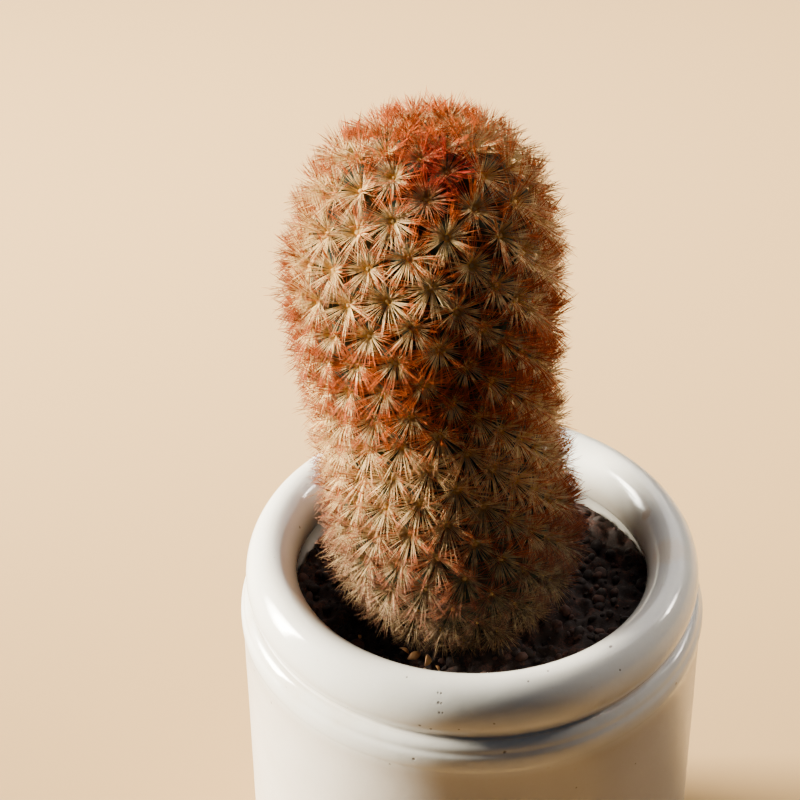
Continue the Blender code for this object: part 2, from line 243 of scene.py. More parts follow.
# Old spines are matted at the foot and short, and young ones stand up at the crown.
MATTED_FROM = -0.004
MATTED_OVER = 0.020
MATTED_LIFT = math.radians(12)
MATTED_BEND = 0.16
OLD_SPINE_SHARE = 0.55
OLD_SPINE_HEIGHT = 0.014
YOUNG_FROM = 0.080
YOUNG_OVER = 0.012
YOUNG_LIFT = math.radians(12)
YOUNG_SPINE_POWER = 0.3

# How red the spines' outer ends are by height above the lip's middle.
REDNESS_BY_HEIGHT = (
    (-0.010, 0.15),
    (0.004, 0.35),
    (0.012, 0.70),
    (0.020, 0.72),
    (0.028, 0.55),
    (0.040, 0.36),
    (0.048, 0.65),
    (0.055, 1.00),
    (0.063, 1.00),
    (0.070, 0.58),
    (0.077, 0.49),
    (0.084, 0.55),
    (0.089, 0.60),
    (0.099, 0.76),
)
# Where the spines are dark, about a point near the crown, and up to which height they are dusted and darkened
# by painted shade.
CROWN_MIDDLE = -0.0062, -0.0078
CROWN_LEVEL = 0.080
CROWN_DARK_TO = 0.0028
CROWN_DARK_OVER = 0.0040
DUST_AND_SHADE_TO = 0.0400
DUST_AND_SHADE_OVER = 0.0420
# Painted shade: how far the spines towards the window are mixed to the deeper of their two tones, to offset
# the strong light on that side.
WINDOW_SIDE_PAINTED_SHADE = 0.68

# The camera stands where the photograph's perspective puts it.
CAMERA_PLACE = (0.0, -0.3418524, 0.3953098)
CAMERA_RIGHT = (0.99942641, 0.03240564, -0.00983459)
CAMERA_UP = (-0.01160418, 0.60052738, 0.79951999)
CAMERA_FORWARD = (-0.0318149, 0.79894727, -0.60055897)
CAMERA_LENS = 104.1656
CAMERA_SENSOR = 36.0
CAMERA_NEAREST = 0.01

# Each lamp's name, place, aim, size, colour and spread in degrees. Its power is the setting of its name.
LAMPS = (
    ("window", (-0.98, 0.29, 0.37), (0.10, 0.30, 0.04), (0.55, 0.70), (1.0, 0.94, 0.80), 53),
    ("fill", (0.42, 0.82, 0.98), (0.0, 0.0, 0.11), (1.3, 1.0), (1.0, 0.96, 0.92), 180),
    ("side", (0.66, 0.32, 0.50), (-0.012, 0.0, 0.185), (0.14, 0.14), (1.0, 0.90, 0.80), 20),
)
SKY_COLOUR = (0.36, 0.62, 1.0, 1.0)
FLOOR_REACH = 3.0

JAR_SEED = 3
SOIL_SEED = 7
STEM_SEED = 13
SPINE_SEED = 29


def eased(fraction):
    """A smooth step from 0 to 1."""
    fraction = np.clip(fraction, 0.0, 1.0)
    return fraction * fraction * (3 - 2 * fraction)


def unit(vectors):
    """The vectors at length 1."""
    return vectors / np.linalg.norm(vectors, axis=-1, keepdims=True)


def circle(count):
    """So many angles spread evenly round a circle."""
    return 2 * math.pi * np.arange(count) / count


def polar(radius, angle, height, x=0.0, y=0.0):
    """Points at a radius and an angle about the upright line through x and y, and at a height."""
    across = x + radius * np.cos(angle)
    return np.stack([across, y + radius * np.sin(angle), np.broadcast_to(height, across.shape)], axis=-1)


def turned(angle, first, second):
    """The direction at an angle from the first direction towards the second."""
    return np.cos(angle)[..., None] * first + np.sin(angle)[..., None] * second


def lattice_noise(points, pitch, seed):
    """Noise from -1 to 1: a random value at each corner of a cubic lattice, eased between the corners."""
    place = points / pitch
    cell = np.floor(place).astype(np.int64)
    part = place - cell
    part = part * part * (3 - 2 * part)
    total = np.zeros(len(points))
    for corner in product((0, 1), repeat=3):
        x, y, z = (cell + corner).T
        key = x * 73856093 ^ y * 19349663 ^ z * 83492791 ^ seed * 2654435761
        key = (key ^ (key >> 15)) * 2246822519
        key = (key ^ (key >> 13)) * 3266489917
        value = ((key >> 8) & 0xFFFF) / 32767.5 - 1
        total += np.where(corner, part, 1 - part).prod(axis=1) * value
    return total


def layered_noise(points, pitch, layers, seed):
    """Lattice noise in layers, each at half the pitch and half the strength of the one before."""
    total = np.zeros(len(points))
    for layer in range(layers):
        total += lattice_noise(points, pitch / 2**layer, seed + layer) / 2**layer
    return total


def grid_faces(rows, columns):
    """Quads of a grid of points whose rows close on themselves, facing away from the axis."""
    row = np.arange(rows - 1)[:, None] * columns
    here = np.arange(columns)[None]
    after = (here + 1) % columns
    quads = [row + here, row + after, row + columns + after, row + columns + here]
    return np.stack(quads, axis=-1).reshape(-1, 4)


def fan_faces(ring_start, columns, middle, upwards):
    """Triangles from a ring of points to one point in its middle."""
    here = ring_start + np.arange(columns)
    after = ring_start + (np.arange(columns) + 1) % columns
    ends = (here, after) if upwards else (after, here)
    return np.stack([*ends, np.full(columns, middle)], axis=-1)


def closed_faces(rows, columns, rising=True):
    """Faces of rings of points, closed by a fan that looks up and one that looks down.

    The rings run from the lower fan to the upper one, or the other way where rising is false. The middles of
    the upper and the lower fan follow the rings as the last two points.
    """
    sides = grid_faces(rows, columns)
    lower, upper = 0, (rows - 1) * columns
    if not rising:
        sides = sides[:, ::-1]
        lower, upper = upper, lower
    middle = rows * columns
    return sides, fan_faces(upper, columns, middle, True), fan_faces(lower, columns, middle + 1, False)


def copied_faces(faces, each, count):
    """The faces of a shape of so many points for each of its copies, one copy's points after another's."""
    starts = each * np.arange(count)[:, None, None]
    return (faces[None] + starts).reshape(-1, faces.shape[1])


def smooth_outline(points, steps):
    """A Catmull-Rom curve through the points, with this many steps between two of them."""
    points = np.array(points)
    padded = np.concatenate([[2 * points[0] - points[1]], points, [2 * points[-1] - points[-2]]])
    t = (np.arange(steps) / steps)[:, None]
    pieces = []
    for a, b, c, d in zip(padded, padded[1:], padded[2:], padded[3:]):
        pieces.append(b + 0.5 * t * (c - a + t * (2 * a - 5 * b + 4 * c - d + t * (3 * (b - c) + d - a))))
    return np.concatenate([*pieces, [points[-1]]])


def add_piece(name, points, faces, finish, slot, node=None, **values):
    """A smooth mesh object that rides on the row's one body, with its finish. The slot argument is not used.

    Each of the values is one number for each point, which the material reads by its name.
    """
    mesh = bpy.data.meshes.new(name)
    listed = [row for part in faces for row in part.tolist()]
    mesh.from_pydata(points.tolist(), [], listed)
    mesh.materials.append(finish)
    mesh.shade_smooth()
    for key, numbers in values.items():
        layer = mesh.attributes.new(key, "FLOAT", "POINT")
        layer.data.foreach_set("value", np.ascontiguousarray(numbers, dtype=np.float32))
    piece = bpy.data.objects.new(name, mesh)
    bpy.context.scene.collection.objects.link(piece)
    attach(piece, "root")
    if node:
        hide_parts(node)
    return piece


def scaled(colour, factor):
    """The colour made darker or paler."""
    return tuple(min(1.0, factor * channel) for channel in colour)


class Nodes:
    """Adds nodes to a tree. A socket is fed by another socket, a number, a vector or a colour."""

    def __init__(self, tree, place=None):
        self.tree = tree
        self.place = place or self.add("TexCoord").outputs["Object"]

    def feed(self, socket, value):
        if isinstance(value, bpy.types.NodeSocket):
            self.tree.links.new(value, socket)
        elif socket.type == "RGBA":
            socket.default_value = (*value, 1.0)
        else:
            socket.default_value = value

    def feed_all(self, sockets, values):
        for socket, value in zip(sockets, values):
            self.feed(socket, value)

    def feed_named(self, sockets, values):
        for name, value in values.items():
            self.feed(sockets[name.replace("_", " ")], value)

    def add(self, kind, settings=None, **inputs):
        node = self.tree.nodes.new("ShaderNode" + kind)
        for name, value in (settings or {}).items():
            setattr(node, name, value)
        self.feed_named(node.inputs, inputs)
        return node

    def value_of(self, name):
        return self.add("Attribute", {"attribute_name": name, "attribute_type": "GEOMETRY"}).outputs["Fac"]

    def math(self, operation, *values):
        node = self.add("Math", {"operation": operation})
        self.feed_all(node.inputs, values)
        return node.outputs[0]

    def times(self, value, factor):
        return self.math("MULTIPLY", value, factor)

    def times_plus(self, value, factor, more):
        return self.math("MULTIPLY_ADD", value, factor, more)

    def vector_math(self, operation, *values):
        node = self.add("VectorMath", {"operation": operation})
        self.feed_all(node.inputs, values)
        return node.outputs

    def between(self, value, low, high, to_low=0.0, to_high=1.0):
        """The value eased from one range to another, and held at its ends."""
        ends = {"From_Min": low, "From_Max": high, "To_Min": to_low, "To_Max": to_high}
        node = self.add("MapRange", {"interpolation_type": "SMOOTHSTEP"}, Value=value, **ends)
        return node.outputs["Result"]

    def noise(self, scale, detail=3.0, roughness=0.55):
        node = self.add("TexNoise", Vector=self.place, Scale=scale, Detail=detail, Roughness=roughness)
        return node.outputs["Fac"]

    def blend(self, mask, first, second, kind="MIX"):
        node = self.add("Mix", {"data_type": "RGBA", "blend_type": kind}, Factor=mask)
        self.feed_all(node.inputs[6:8], (first, second))
        return node.outputs[2]

    def tinted(self, colour, tint):
        return self.blend(1.0, colour, tint, "MULTIPLY")

    def paint(self, colour, mask, strength, over):
        """The colour with another laid over it at a strength, where the mask says."""
        return self.blend(self.times(mask, strength), colour, over)

    def group(self, name, build, *values):
        """The value of a shared group, which is built where it is first used."""
        node = self.add("Group")
        node.node_tree = bpy.data.node_groups.get(name) or build(name)
        self.feed_all(node.inputs, (self.place, *values))
        return node.outputs["Value"]

    def mottle(self, blotches, grain, grain_share):
        return self.group("mottle", mottle_group, blotches, grain, grain_share)

    def specks(self, cells, share, size):
        return self.group("specks", specks_group, cells, share, size)

    def bump(self, height, distance, strength=1.0):
        return self.add("Bump", Height=height, Distance=distance, Strength=strength).outputs["Normal"]


class Material(Nodes):
    """The nodes of a new material, about its Principled shader."""

    def __init__(self, name):
        self.finish = bpy.data.materials.new(name)
        self.finish.use_nodes = True
        super().__init__(self.finish.node_tree)

    def shade(self, **inputs):
        """Feeds the shader, and gives the material."""
        self.feed_named(self.tree.nodes["Principled BSDF"].inputs, inputs)
        return self.finish


def start_group(name, numbers):
    """A new group of a vector and named numbers, with one value out: its nodes, its inputs, its output."""
    tree = bpy.data.node_groups.new(name, "ShaderNodeTree")
    tree.interface.new_socket(name="Vector", in_out="INPUT", socket_type="NodeSocketVector")
    for number in numbers:
        tree.interface.new_socket(name=number, in_out="INPUT", socket_type="NodeSocketFloat")
    tree.interface.new_socket(name="Value", in_out="OUTPUT", socket_type="NodeSocketFloat")
    given = tree.nodes.new("NodeGroupInput").outputs
    wanted = tree.nodes.new("NodeGroupOutput").inputs
    return Nodes(tree, given["Vector"]), given, wanted["Value"]


def mottle_group(name):
    """Soft blotches with fine grain in them, as one value from 0 to 1."""
    nodes, given, result = start_group(name, ("Blotches", "Grain", "Grain Share"))
    coarse = nodes.between(nodes.noise(given["Blotches"], 4.0), 0.3, 0.7)
    fine = nodes.between(nodes.noise(given["Grain"], 3.0, 0.6), 0.28, 0.72)
    coarse = nodes.times(coarse, nodes.math("SUBTRACT", 1.0, given["Grain Share"]))
    nodes.feed(result, nodes.times_plus(fine, given["Grain Share"], coarse))
    return nodes.tree


def specks_group(name):
    """Scattered round specks of unlike sizes: a random share of the cells of a lattice holds one."""
    nodes, given, result = start_group(name, ("Cells", "Share", "Size"))
    cells = nodes.add("TexVoronoi", {"feature": "F1"}, Vector=nodes.place, Scale=given["Cells"]).outputs
    draw = nodes.add("SeparateColor", Color=cells["Color"]).outputs
    ragged = nodes.times_plus(nodes.noise(nodes.times(given["Cells"], 9.0), 2.0), 0.08, -0.04)
    distance = nodes.math("ADD", cells["Distance"], ragged)
    size = nodes.times(given["Size"], nodes.math("ADD", draw["Green"], 0.35))
    dot = nodes.between(distance, nodes.times(size, 0.55), size, 1.0, 0.0)
    nodes.feed(result, nodes.times(dot, nodes.math("LESS_THAN", draw["Red"], given["Share"])))
    return nodes.tree


def colour_setting(name, description, default):
    """A colour that a user can change."""
    return bpy.props.FloatVectorProperty(name=name, description=description, default=default, subtype="COLOR")


def count_setting(name, description, default, low, high):
    """A whole number that a user can change, and its range."""
    return bpy.props.IntProperty(name=name, description=description, default=default, min=low, max=high)


def number_setting(name, description, default, **kind):
    """A number that a user can change, in its unit."""
    return bpy.props.FloatProperty(name=name, description=description, default=default, **kind)


def length_setting(name, description, default):
    """A length that a user can change, shown down to a thousandth of a millimetre."""
    return number_setting(name, description, default, unit="LENGTH", precision=6)


def angle_setting(name, description, degrees):
    """An angle that a user can change."""
    return number_setting(name, description, math.radians(degrees), subtype="ANGLE")


class JarSettings(bpy.types.PropertyGroup):
    segments: count_setting("Segments", "Faces round the jar", 224, 32, 512)
    wobble: length_setting("Wobble", "How far the glaze stands off a true circle", 0.00007)
    glaze: colour_setting("Glaze", "Colour of the lip and shoulder", (0.63, 0.61, 0.55))
    body: colour_setting("Body", "Creamier colour lower down", (0.54, 0.485, 0.41))
    stain: colour_setting("Stain", "Colour of the dirt in the groove", (0.30, 0.20, 0.12))
    speck: colour_setting("Speck", "Colour of the iron specks", (0.07, 0.05, 0.035))


class MixSettings(bpy.types.PropertyGroup):
    mix: colour_setting("Mix", "Colour of the damp peat", (0.0250, 0.0142, 0.0105))
    bark: colour_setting("Bark", "Colour of the reddish lumps", (0.100, 0.040, 0.026))
    roughness: length_setting("Roughness", "Height of the surface's lumps", 0.00085)
    lumps: count_setting("Lumps", "Loose lumps on top", 760, 0, 3000)
    lump_size: length_setting("Lump Size", "Radius of the larger lumps", 0.0013)
    husk: colour_setting("Husk", "Colour of the dry flakes", (0.46, 0.225, 0.08))


class PlantSettings(bpy.types.PropertyGroup):
    flesh: colour_setting("Flesh", "Colour between the spines", (0.036, 0.041, 0.021))
    felt: colour_setting("Felt", "Colour of the wool on the areoles", (0.72, 0.42, 0.11))
    spines: count_setting("Spines", "Spines on each areole", 140, 8, 160)
    length: length_setting("Spine Length", "Length of a full-grown spine", 0.0075)
    thickness: length_setting("Spine Thickness", "Radius of a spine at its root", 0.000052)
    flattest: angle_setting("Flattest", "Lift of the outermost spines off the skin", 8)
    steepest: angle_setting("Steepest", "Lift of the innermost spines off the skin", 56)
    shaft: colour_setting("Shaft", "Colour of the spines' shafts", (0.66, 0.47, 0.25))
    root: colour_setting("Root", "Colour of the spines' roots", (0.77, 0.46, 0.06))
    tip: colour_setting("Tip", "Colour of the spines' ends", (0.50, 0.086, 0.005))
    crown: colour_setting("Crown", "Colour of the youngest spines", (0.25, 0.015, 0.004))
    # Painted shade as well: this near-black brown also stands for the shade on the lowest spines.
    dust: colour_setting("Dust", "Colour of the oldest spines", (0.082, 0.048, 0.032))


class StageSettings(bpy.types.PropertyGroup):
    floor: colour_setting("Floor", "Colour of the plain floor", (0.356, 0.217, 0.083))
    window: number_setting("Window", "Strength of the soft light from the left", 40.0, unit="POWER")
    fill: number_setting("Fill", "Strength of the weak light from the upper right", 15.0, unit="POWER")
    side: number_setting("Side", "Strength of the small light on the plant's right", 0.13, unit="POWER")
    sky: number_setting("Sky", "Strength of the light all round", 0.10)


def arc(centre, half_width, half_height, start, end, count):
    """Points of an ellipse from the start angle to the end angle, in degrees."""
    angles = np.radians(np.linspace(start, end, count))
    x = centre[0] + half_width * np.cos(angles)
    return np.column_stack([x, centre[1] + half_height * np.sin(angles)])


def wall(radius, start, end, count):
    """Points at one radius from one height to another."""
    return np.column_stack([np.full(count, radius), np.linspace(start, end, count)])


def lip_angle(radius):
    """The angle, in degrees, at which the lip's ellipse has this radius."""
    return math.degrees(math.acos((radius - LIP_CENTRE_RADIUS) / LIP_HALF_WIDTH))


def jar_outline():
    """Radius and height from the inside floor, over the lip and down to the foot, with the solid's values."""
    lip = (LIP_CENTRE_RADIUS, LIP_LEVEL)
    corner = (JAR_INSIDE_RADIUS - JAR_INSIDE_CORNER, JAR_FLOOR + JAR_INSIDE_CORNER)
    shoulder = (GROOVE_RADIUS, LIP_LEVEL - SHOULDER_DROP)
    shoulder_width = SHOULDER_RADIUS - GROOVE_RADIUS
    shoulder_height = SHOULDER_DROP - SHOULDER_TOP
    start, end = 360 - lip_angle(JAR_INSIDE_RADIUS), -lip_angle(GROOVE_RADIUS)
    foot_inside = FOOT_RADIUS - FOOT_WIDTH
    return np.concatenate(
        [
            [(0.012, JAR_FLOOR), (0.024, JAR_FLOOR)],
            arc(corner, JAR_INSIDE_CORNER, JAR_INSIDE_CORNER, -90, 0, 6),
            wall(JAR_INSIDE_RADIUS, 0.02, LIP_LEVEL - 0.009, 8),
            arc(lip, LIP_HALF_WIDTH, LIP_HALF_HEIGHT, start, end, 46),
            [(GROOVE_RADIUS, GROOVE_LEVEL)],
            arc(shoulder, shoulder_width, shoulder_height, 84, -25, 40),
            wall(JAR_RADIUS, LIP_LEVEL - SHOULDER_FOOT, FOOT_HEIGHT + 0.004, 16),
            arc((FOOT_RADIUS, FOOT_HEIGHT), JAR_RADIUS - FOOT_RADIUS, FOOT_HEIGHT, 0, -90, 8),
            [(foot_inside, 0.0), (foot_inside - FOOT_RECESS, FOOT_RECESS), (0.02, FOOT_RECESS)],
        ]
    )


def middle_of(mark):
    """The point at a mark's angle, radius and height above the lip's middle."""
    angle, radius, rise, _ = mark
    turn = math.radians(angle)
    return radius * math.cos(turn), radius * math.sin(turn), LIP_LEVEL + rise


def jar_points(outline, segments, wobble):
    """The outline turned about the axis.

    point = (r cos a, r sin a, h), with r and h off the outline along its normal by slow noise, which fades
    out at the foot, and with the chip and the shoulder's furrow pressed in.
    """
    angles = circle(segments)
    radius, level = outline.T
    points = polar(radius[:, None], angles, level[:, None])
    slope = np.gradient(outline, axis=0)
    normal = unit(np.column_stack([slope[:, 1], -slope[:, 0]]))
    waves = layered_noise(points.reshape(-1, 3), WAVE_PITCH, 2, JAR_SEED).reshape(points.shape[:2])
    offset = wobble * (waves - 0.8) * eased((level - FOOT_HEIGHT) / WAVE_FADE)[:, None]
    furrow = np.exp(-(((level - FURROW_LEVEL) / FURROW_REACH) ** 2)) * (radius > GROOVE_RADIUS)
    offset = offset - FURROW_DEPTH * furrow[:, None]
    away = np.linalg.norm(points - np.array(middle_of(CHIP)), axis=-1)
    # The outline runs up the inside and down the outside, so its normal points into the clay.
    offset = CHIP_DEPTH * (1 - eased(away / CHIP[-1])) - offset
    return points + polar(normal[:, :1] * offset, angles, normal[:, 1:] * offset)


def spot(nodes, mark, ragged):
    """A soft round mask about a mark on the jar."""
    size = mark[-1]
    distance = nodes.vector_math("DISTANCE", nodes.place, middle_of(mark))["Value"]
    return nodes.between(nodes.times_plus(ragged, size, distance), 0.7 * size, 1.5 * size, 1.0, 0.0)


def glaze_material(settings):
    """Ivory glaze with iron specks and pinholes, dirt in the groove, a chip, a creamier body, and painted
    shade on the inside wall.
    """
    nodes = Material("ivory_glaze")
    height = nodes.add("SeparateXYZ", Vector=nodes.place).outputs["Z"]
    mottle = nodes.mottle(70.0, 1400.0, 0.3)
    lower = nodes.between(height, LIP_LEVEL - 0.0135, LIP_LEVEL - 0.0105, 1.0, 0.0)
    colour = nodes.blend(lower, settings.glaze, settings.body)
    colour = nodes.blend(mottle, nodes.tinted(colour, (0.95, 0.93, 0.90)), colour)
    # Painted shade: the inside wall just above the mix is darkened, for the shade that falls inside the jar.
    level = nodes.vector_math("MULTIPLY", nodes.place, (1.0, 1.0, 0.0))["Vector"]
    inside = nodes.between(nodes.vector_math("LENGTH", level)["Value"], 0.0355, 0.0375, 1.0, 0.0)
    inside = nodes.times(inside, nodes.between(height, LIP_LEVEL - 0.001, LIP_LEVEL + 0.0048, 0.85, 0.0))
    colour = nodes.blend(inside, colour, nodes.tinted(colour, (0.52, 0.47, 0.42)))
    # Dirt lies in the groove and comes and goes round the jar; a wider band above and below it is browner
    # towards the groove, in patches.
    depth = nodes.math("ABSOLUTE", nodes.math("SUBTRACT", height, GROOVE_LEVEL + 0.0003))
    groove = nodes.between(depth, 0.0002, 0.0006, 1.0, 0.0)
    thin = nodes.between(nodes.noise(45.0, 4.0), 0.30, 0.62, 0.10, 0.45)
    colour = nodes.blend(nodes.times(groove, thin), colour, settings.stain)
    wash = nodes.times(
        nodes.between(depth, 0.0005, 0.0060, 0.34, 0.0),
        nodes.between(nodes.noise(110.0, 5.0), 0.48, 0.68),
    )
    colour = nodes.blend(wash, colour, (0.50, 0.37, 0.22))
    ragged = nodes.math("SUBTRACT", nodes.noise(1800.0), 0.5)
    chip = spot(nodes, CHIP, ragged)
    pits = nodes.specks(120.0, 0.13, 0.075)
    for pit in PITS:
        pits = nodes.math("MAXIMUM", pits, spot(nodes, pit, ragged))
    colour = nodes.paint(colour, spot(nodes, STAIN, ragged), 0.45, (0.62, 0.47, 0.30))
    colour = nodes.paint(colour, nodes.specks(420.0, 0.25, 0.16), 0.16, (0.45, 0.33, 0.20))
    colour = nodes.paint(colour, nodes.specks(260.0, 0.22, 0.085), 0.62, settings.speck)
    colour = nodes.paint(colour, chip, 0.65, (0.34, 0.22, 0.12))
    colour = nodes.paint(colour, pits, 0.85, settings.speck)
    # Above a roughness of 0.27 the denoiser takes the gloss for colour, and its edge there would show.
    roughness = nodes.times_plus(lower, 0.11, nodes.times_plus(mottle, 0.05, 0.10))
    marks = nodes.math("MAXIMUM", nodes.math("MAXIMUM", pits, chip), groove)
    hollow = nodes.times_plus(pits, -1.5, nodes.noise(320.0))
    return nodes.shade(
        Base_Color=colour,
        Roughness=nodes.times_plus(marks, 0.4, roughness),
        Normal=nodes.bump(hollow, 0.00006, 0.55),
        IOR=1.52,
    )


class MAMMILLARIA_OT_jar(bpy.types.Operator):
    """Turn the jar's outline into a glazed wall, in place of the plain one"""

    bl_idname = "mammillaria.jar"
    bl_label = "Stoneware Jar"

    def execute(self, context):
        settings = context.scene.mammillaria_jar
        outline = jar_outline()
        points = jar_points(outline, settings.segments, settings.wobble)
        points = np.concatenate([points.reshape(-1, 3), [(0, 0, JAR_FLOOR), (0, 0, FOOT_RECESS)]])
        faces = closed_faces(len(outline), settings.segments, rising=False)
        add_piece("glazed_jar", points, faces, glaze_material(settings), "stoneware", "pot")
        return {"FINISHED"}


def soil_height(x, y):
    """The top of the potting mix, as the solid has it: a slope with two crossed ripples."""
    slope = SOIL_RISE_RIGHT * x / JAR_INSIDE_RADIUS + SOIL_RISE_BACK * y / JAR_INSIDE_RADIUS
    across = np.sin(CRUMB_WAVES[0] * x + CRUMB_BENDS[0] * np.sin(CRUMB_BEND_WAVES[0] * y))
    along = np.sin(CRUMB_WAVES[1] * y + CRUMB_BENDS[1] * np.sin(CRUMB_BEND_WAVES[1] * x))
    return SOIL_LEVEL + slope + CRUMB_HEIGHT * across * along


def rough_height(x, y, roughness):
    """The solid's top with lumps: ridged noise, which has round tops and narrow valleys."""
    flat = np.column_stack([x, y, np.zeros(len(x))])
    coarse = 1 - 1.6 * np.abs(layered_noise(flat, COARSE_PITCH, 3, SOIL_SEED))
    fine = layered_noise(flat, FINE_PITCH, 3, SOIL_SEED + 9)
    return soil_height(x, y) + roughness * (0.75 * coarse + 0.35 * fine - 0.3)


def soil_points(roughness):
    """Points of the potting mix, and how many rings they form.

    A ring's middle goes from the plant's axis to the jar's, and its radius from the root's hole to the wall.
    Below the wall's ring follow the floor's ring and, first of all, the ring at the hole's bottom.
    """
    angles = circle(SOIL_SEGMENTS)
    outer = JAR_INSIDE_RADIUS - TOUCHING_GAP
    hole = NECK_RADIUS + 2 * TOUCHING_GAP
    step = np.linspace(0.0, 1.0, SOIL_RINGS)[:, None]
    top = polar(hole + step * (outer - hole), angles, 0.0, (1 - step) * PLANT_X, (1 - step) * PLANT_Y)
    x, y, _ = top.reshape(-1, 3).T
    height = rough_height(x, y, roughness).reshape(SOIL_RINGS, SOIL_SEGMENTS)
    near_stem = eased(step / 0.10)
    height = SOIL_AT_STEM * (1 - near_stem) + height * near_stem
    # The mix hangs back a little from the wall, as it does once it has dried and settled.
    top[..., 2] = height - WALL_DROP * eased((step - 0.95) / 0.05)
    hole_floor = NECK_LEVEL - ROOT_DEPTH - TOUCHING_GAP
    floor = JAR_FLOOR + TOUCHING_GAP
    rings = [
        polar(ROOT_RADIUS + 2 * TOUCHING_GAP, angles, hole_floor, PLANT_X, PLANT_Y),
        *top,
        polar(outer, angles, floor + JAR_INSIDE_CORNER),
        polar(outer - JAR_INSIDE_CORNER, angles, floor),
    ]
    return np.concatenate([*rings, [(PLANT_X, PLANT_Y, hole_floor), (0.0, 0.0, floor)]]), len(rings)


def peat_material(settings):
    """Near-black peat with reddish bark in patches, matt and rough."""
    nodes = Material("potting_mix_peat")
    mottle = nodes.mottle(330.0, 2600.0, 0.45)
    return nodes.shade(
        Base_Color=nodes.blend(nodes.between(mottle, 0.48, 0.92, 0.0, 0.7), settings.mix, settings.bark),
        Roughness=nodes.between(mottle, 0.0, 1.0, 0.72, 0.96),
        Normal=nodes.bump(nodes.noise(3200.0, 4.0), 0.00025, 0.8),
        Specular_IOR_Level=0.3,
    )


class MAMMILLARIA_OT_potting_mix(bpy.types.Operator):
    """Fill the jar with potting mix that has a lumpy top"""

    bl_idname = "mammillaria.potting_mix"
    bl_label = "Potting Mix"

    def execute(self, context):
        settings = context.scene.mammillaria_mix
        points, rings = soil_points(settings.roughness)
        faces = closed_faces(rings, SOIL_SEGMENTS, rising=False)
        add_piece("potting_mix", points, faces, peat_material(settings), "potting_mix", "soil")
        return {"FINISHED"}


def ball_shape():
    """A ball of 60 triangles: a dodecahedron with each face raised to a point in its middle."""
    golden = (1 + math.sqrt(5)) / 2
    corners = list(product((-1, 1), repeat=3))
    middles = []
    for a, b in product((-1, 1), repeat=2):
        corners += [(0, a / golden, b * golden), (a / golden, b * golden, 0), (a * golden, 0, b / golden)]
        middles += [(0, a * golden, b), (a, 0, b * golden), (a * golden, b, 0)]
    corners = unit(np.array(corners, float))
    middles = unit(np.array(middles, float))
    faces = []
    for index, middle in enumerate(middles):
        around = np.argsort(-(corners @ middle))[:5]
        side = unit(corners[around[0]] - (corners[around[0]] @ middle) * middle)
        turn = np.arctan2(corners[around] @ np.cross(middle, side), corners[around] @ side)
        around = around[np.argsort(turn)]
        faces += [(here, after, len(corners) + index) for here, after in zip(around, np.roll(around, -1))]
    return np.concatenate([corners, middles]), np.array(faces)


def random_turns(draw, count):
    """Random rotation matrices, from random unit quaternions."""
    w, x, y, z = unit(draw.normal(size=(count, 4))).T
    rows = [
        [1 - 2 * (y * y + z * z), 2 * (x * y - w * z), 2 * (x * z + w * y)],
        [2 * (x * y + w * z), 1 - 2 * (x * x + z * z), 2 * (y * z - w * x)],
        [2 * (x * z - w * y), 2 * (y * z + w * x), 1 - 2 * (x * x + y * y)],
    ]
    return np.moveaxis(np.array(rows), 2, 0)


def lump_points(draw, count, size, roughness):
    """Lumps strewn on the potting mix: balls stretched along random axes, dented by noise, and part sunk.

    Gives the points, the faces and how many points a lump has.
    """
    shape, faces = ball_shape()
    angle = 2 * math.pi * draw.random(count)
    away = np.sqrt(LUMPS_FROM**2 + (LUMPS_TO**2 - LUMPS_FROM**2) * draw.random(count))
    middles = polar(away, angle, 0.0)
    radius = size * (0.28 + 0.9 * draw.random(count) ** 2.6)
    stretch = draw.uniform(0.55, 1.25, (count, 3))
    balls = (shape[None] * stretch[:, None]) @ random_turns(draw, count)
    own_part = (balls + 7 * np.arange(count)[:, None, None]).reshape(-1, 3)
    dents = layered_noise(own_part, 0.9, 2, SOIL_SEED + 20)
    balls = balls * (1 + 0.30 * dents.reshape(count, -1, 1))
    height = rough_height(middles[:, 0], middles[:, 1], roughness)
    middles[:, 2] = height + radius * draw.uniform(-0.25, 0.45, count)
    points = middles[:, None] + radius[:, None, None] * balls
    return points.reshape(-1, 3), copied_faces(faces, len(shape), count), len(shape)


def lump_material(settings):
    """Bark and peat lumps: each has its own tone between the dark mix and reddish bark."""
    nodes = Material("bark_lumps")
    mottle = nodes.mottle(700.0, 3600.0, 0.5)
    warm = nodes.times(
        nodes.between(nodes.value_of("tone"), 0.35, 1.0), nodes.between(mottle, 0.1, 0.9, 0.45, 1.0)
    )
    return nodes.shade(
        Base_Color=nodes.blend(warm, settings.mix, settings.bark),
        Roughness=nodes.between(mottle, 0.0, 1.0, 0.66, 0.92),
        Normal=nodes.bump(nodes.noise(4200.0), 0.0002, 0.7),
        Specular_IOR_Level=0.35,
    )


class MAMMILLARIA_OT_lumps(bpy.types.Operator):
    """Strew loose lumps of bark and peat on the potting mix"""

    bl_idname = "mammillaria.lumps"
    bl_label = "Bark Lumps"

    def execute(self, context):
        settings = context.scene.mammillaria_mix
        draw = np.random.default_rng(SOIL_SEED)
        points, faces, each = lump_points(draw, settings.lumps, settings.lump_size, settings.roughness)
        tone = np.repeat(draw.random(settings.lumps) ** 1.4, each)
        add_piece("bark_lumps", points, (faces,), lump_material(settings), "potting_mix", tone=tone)
        return {"FINISHED"}


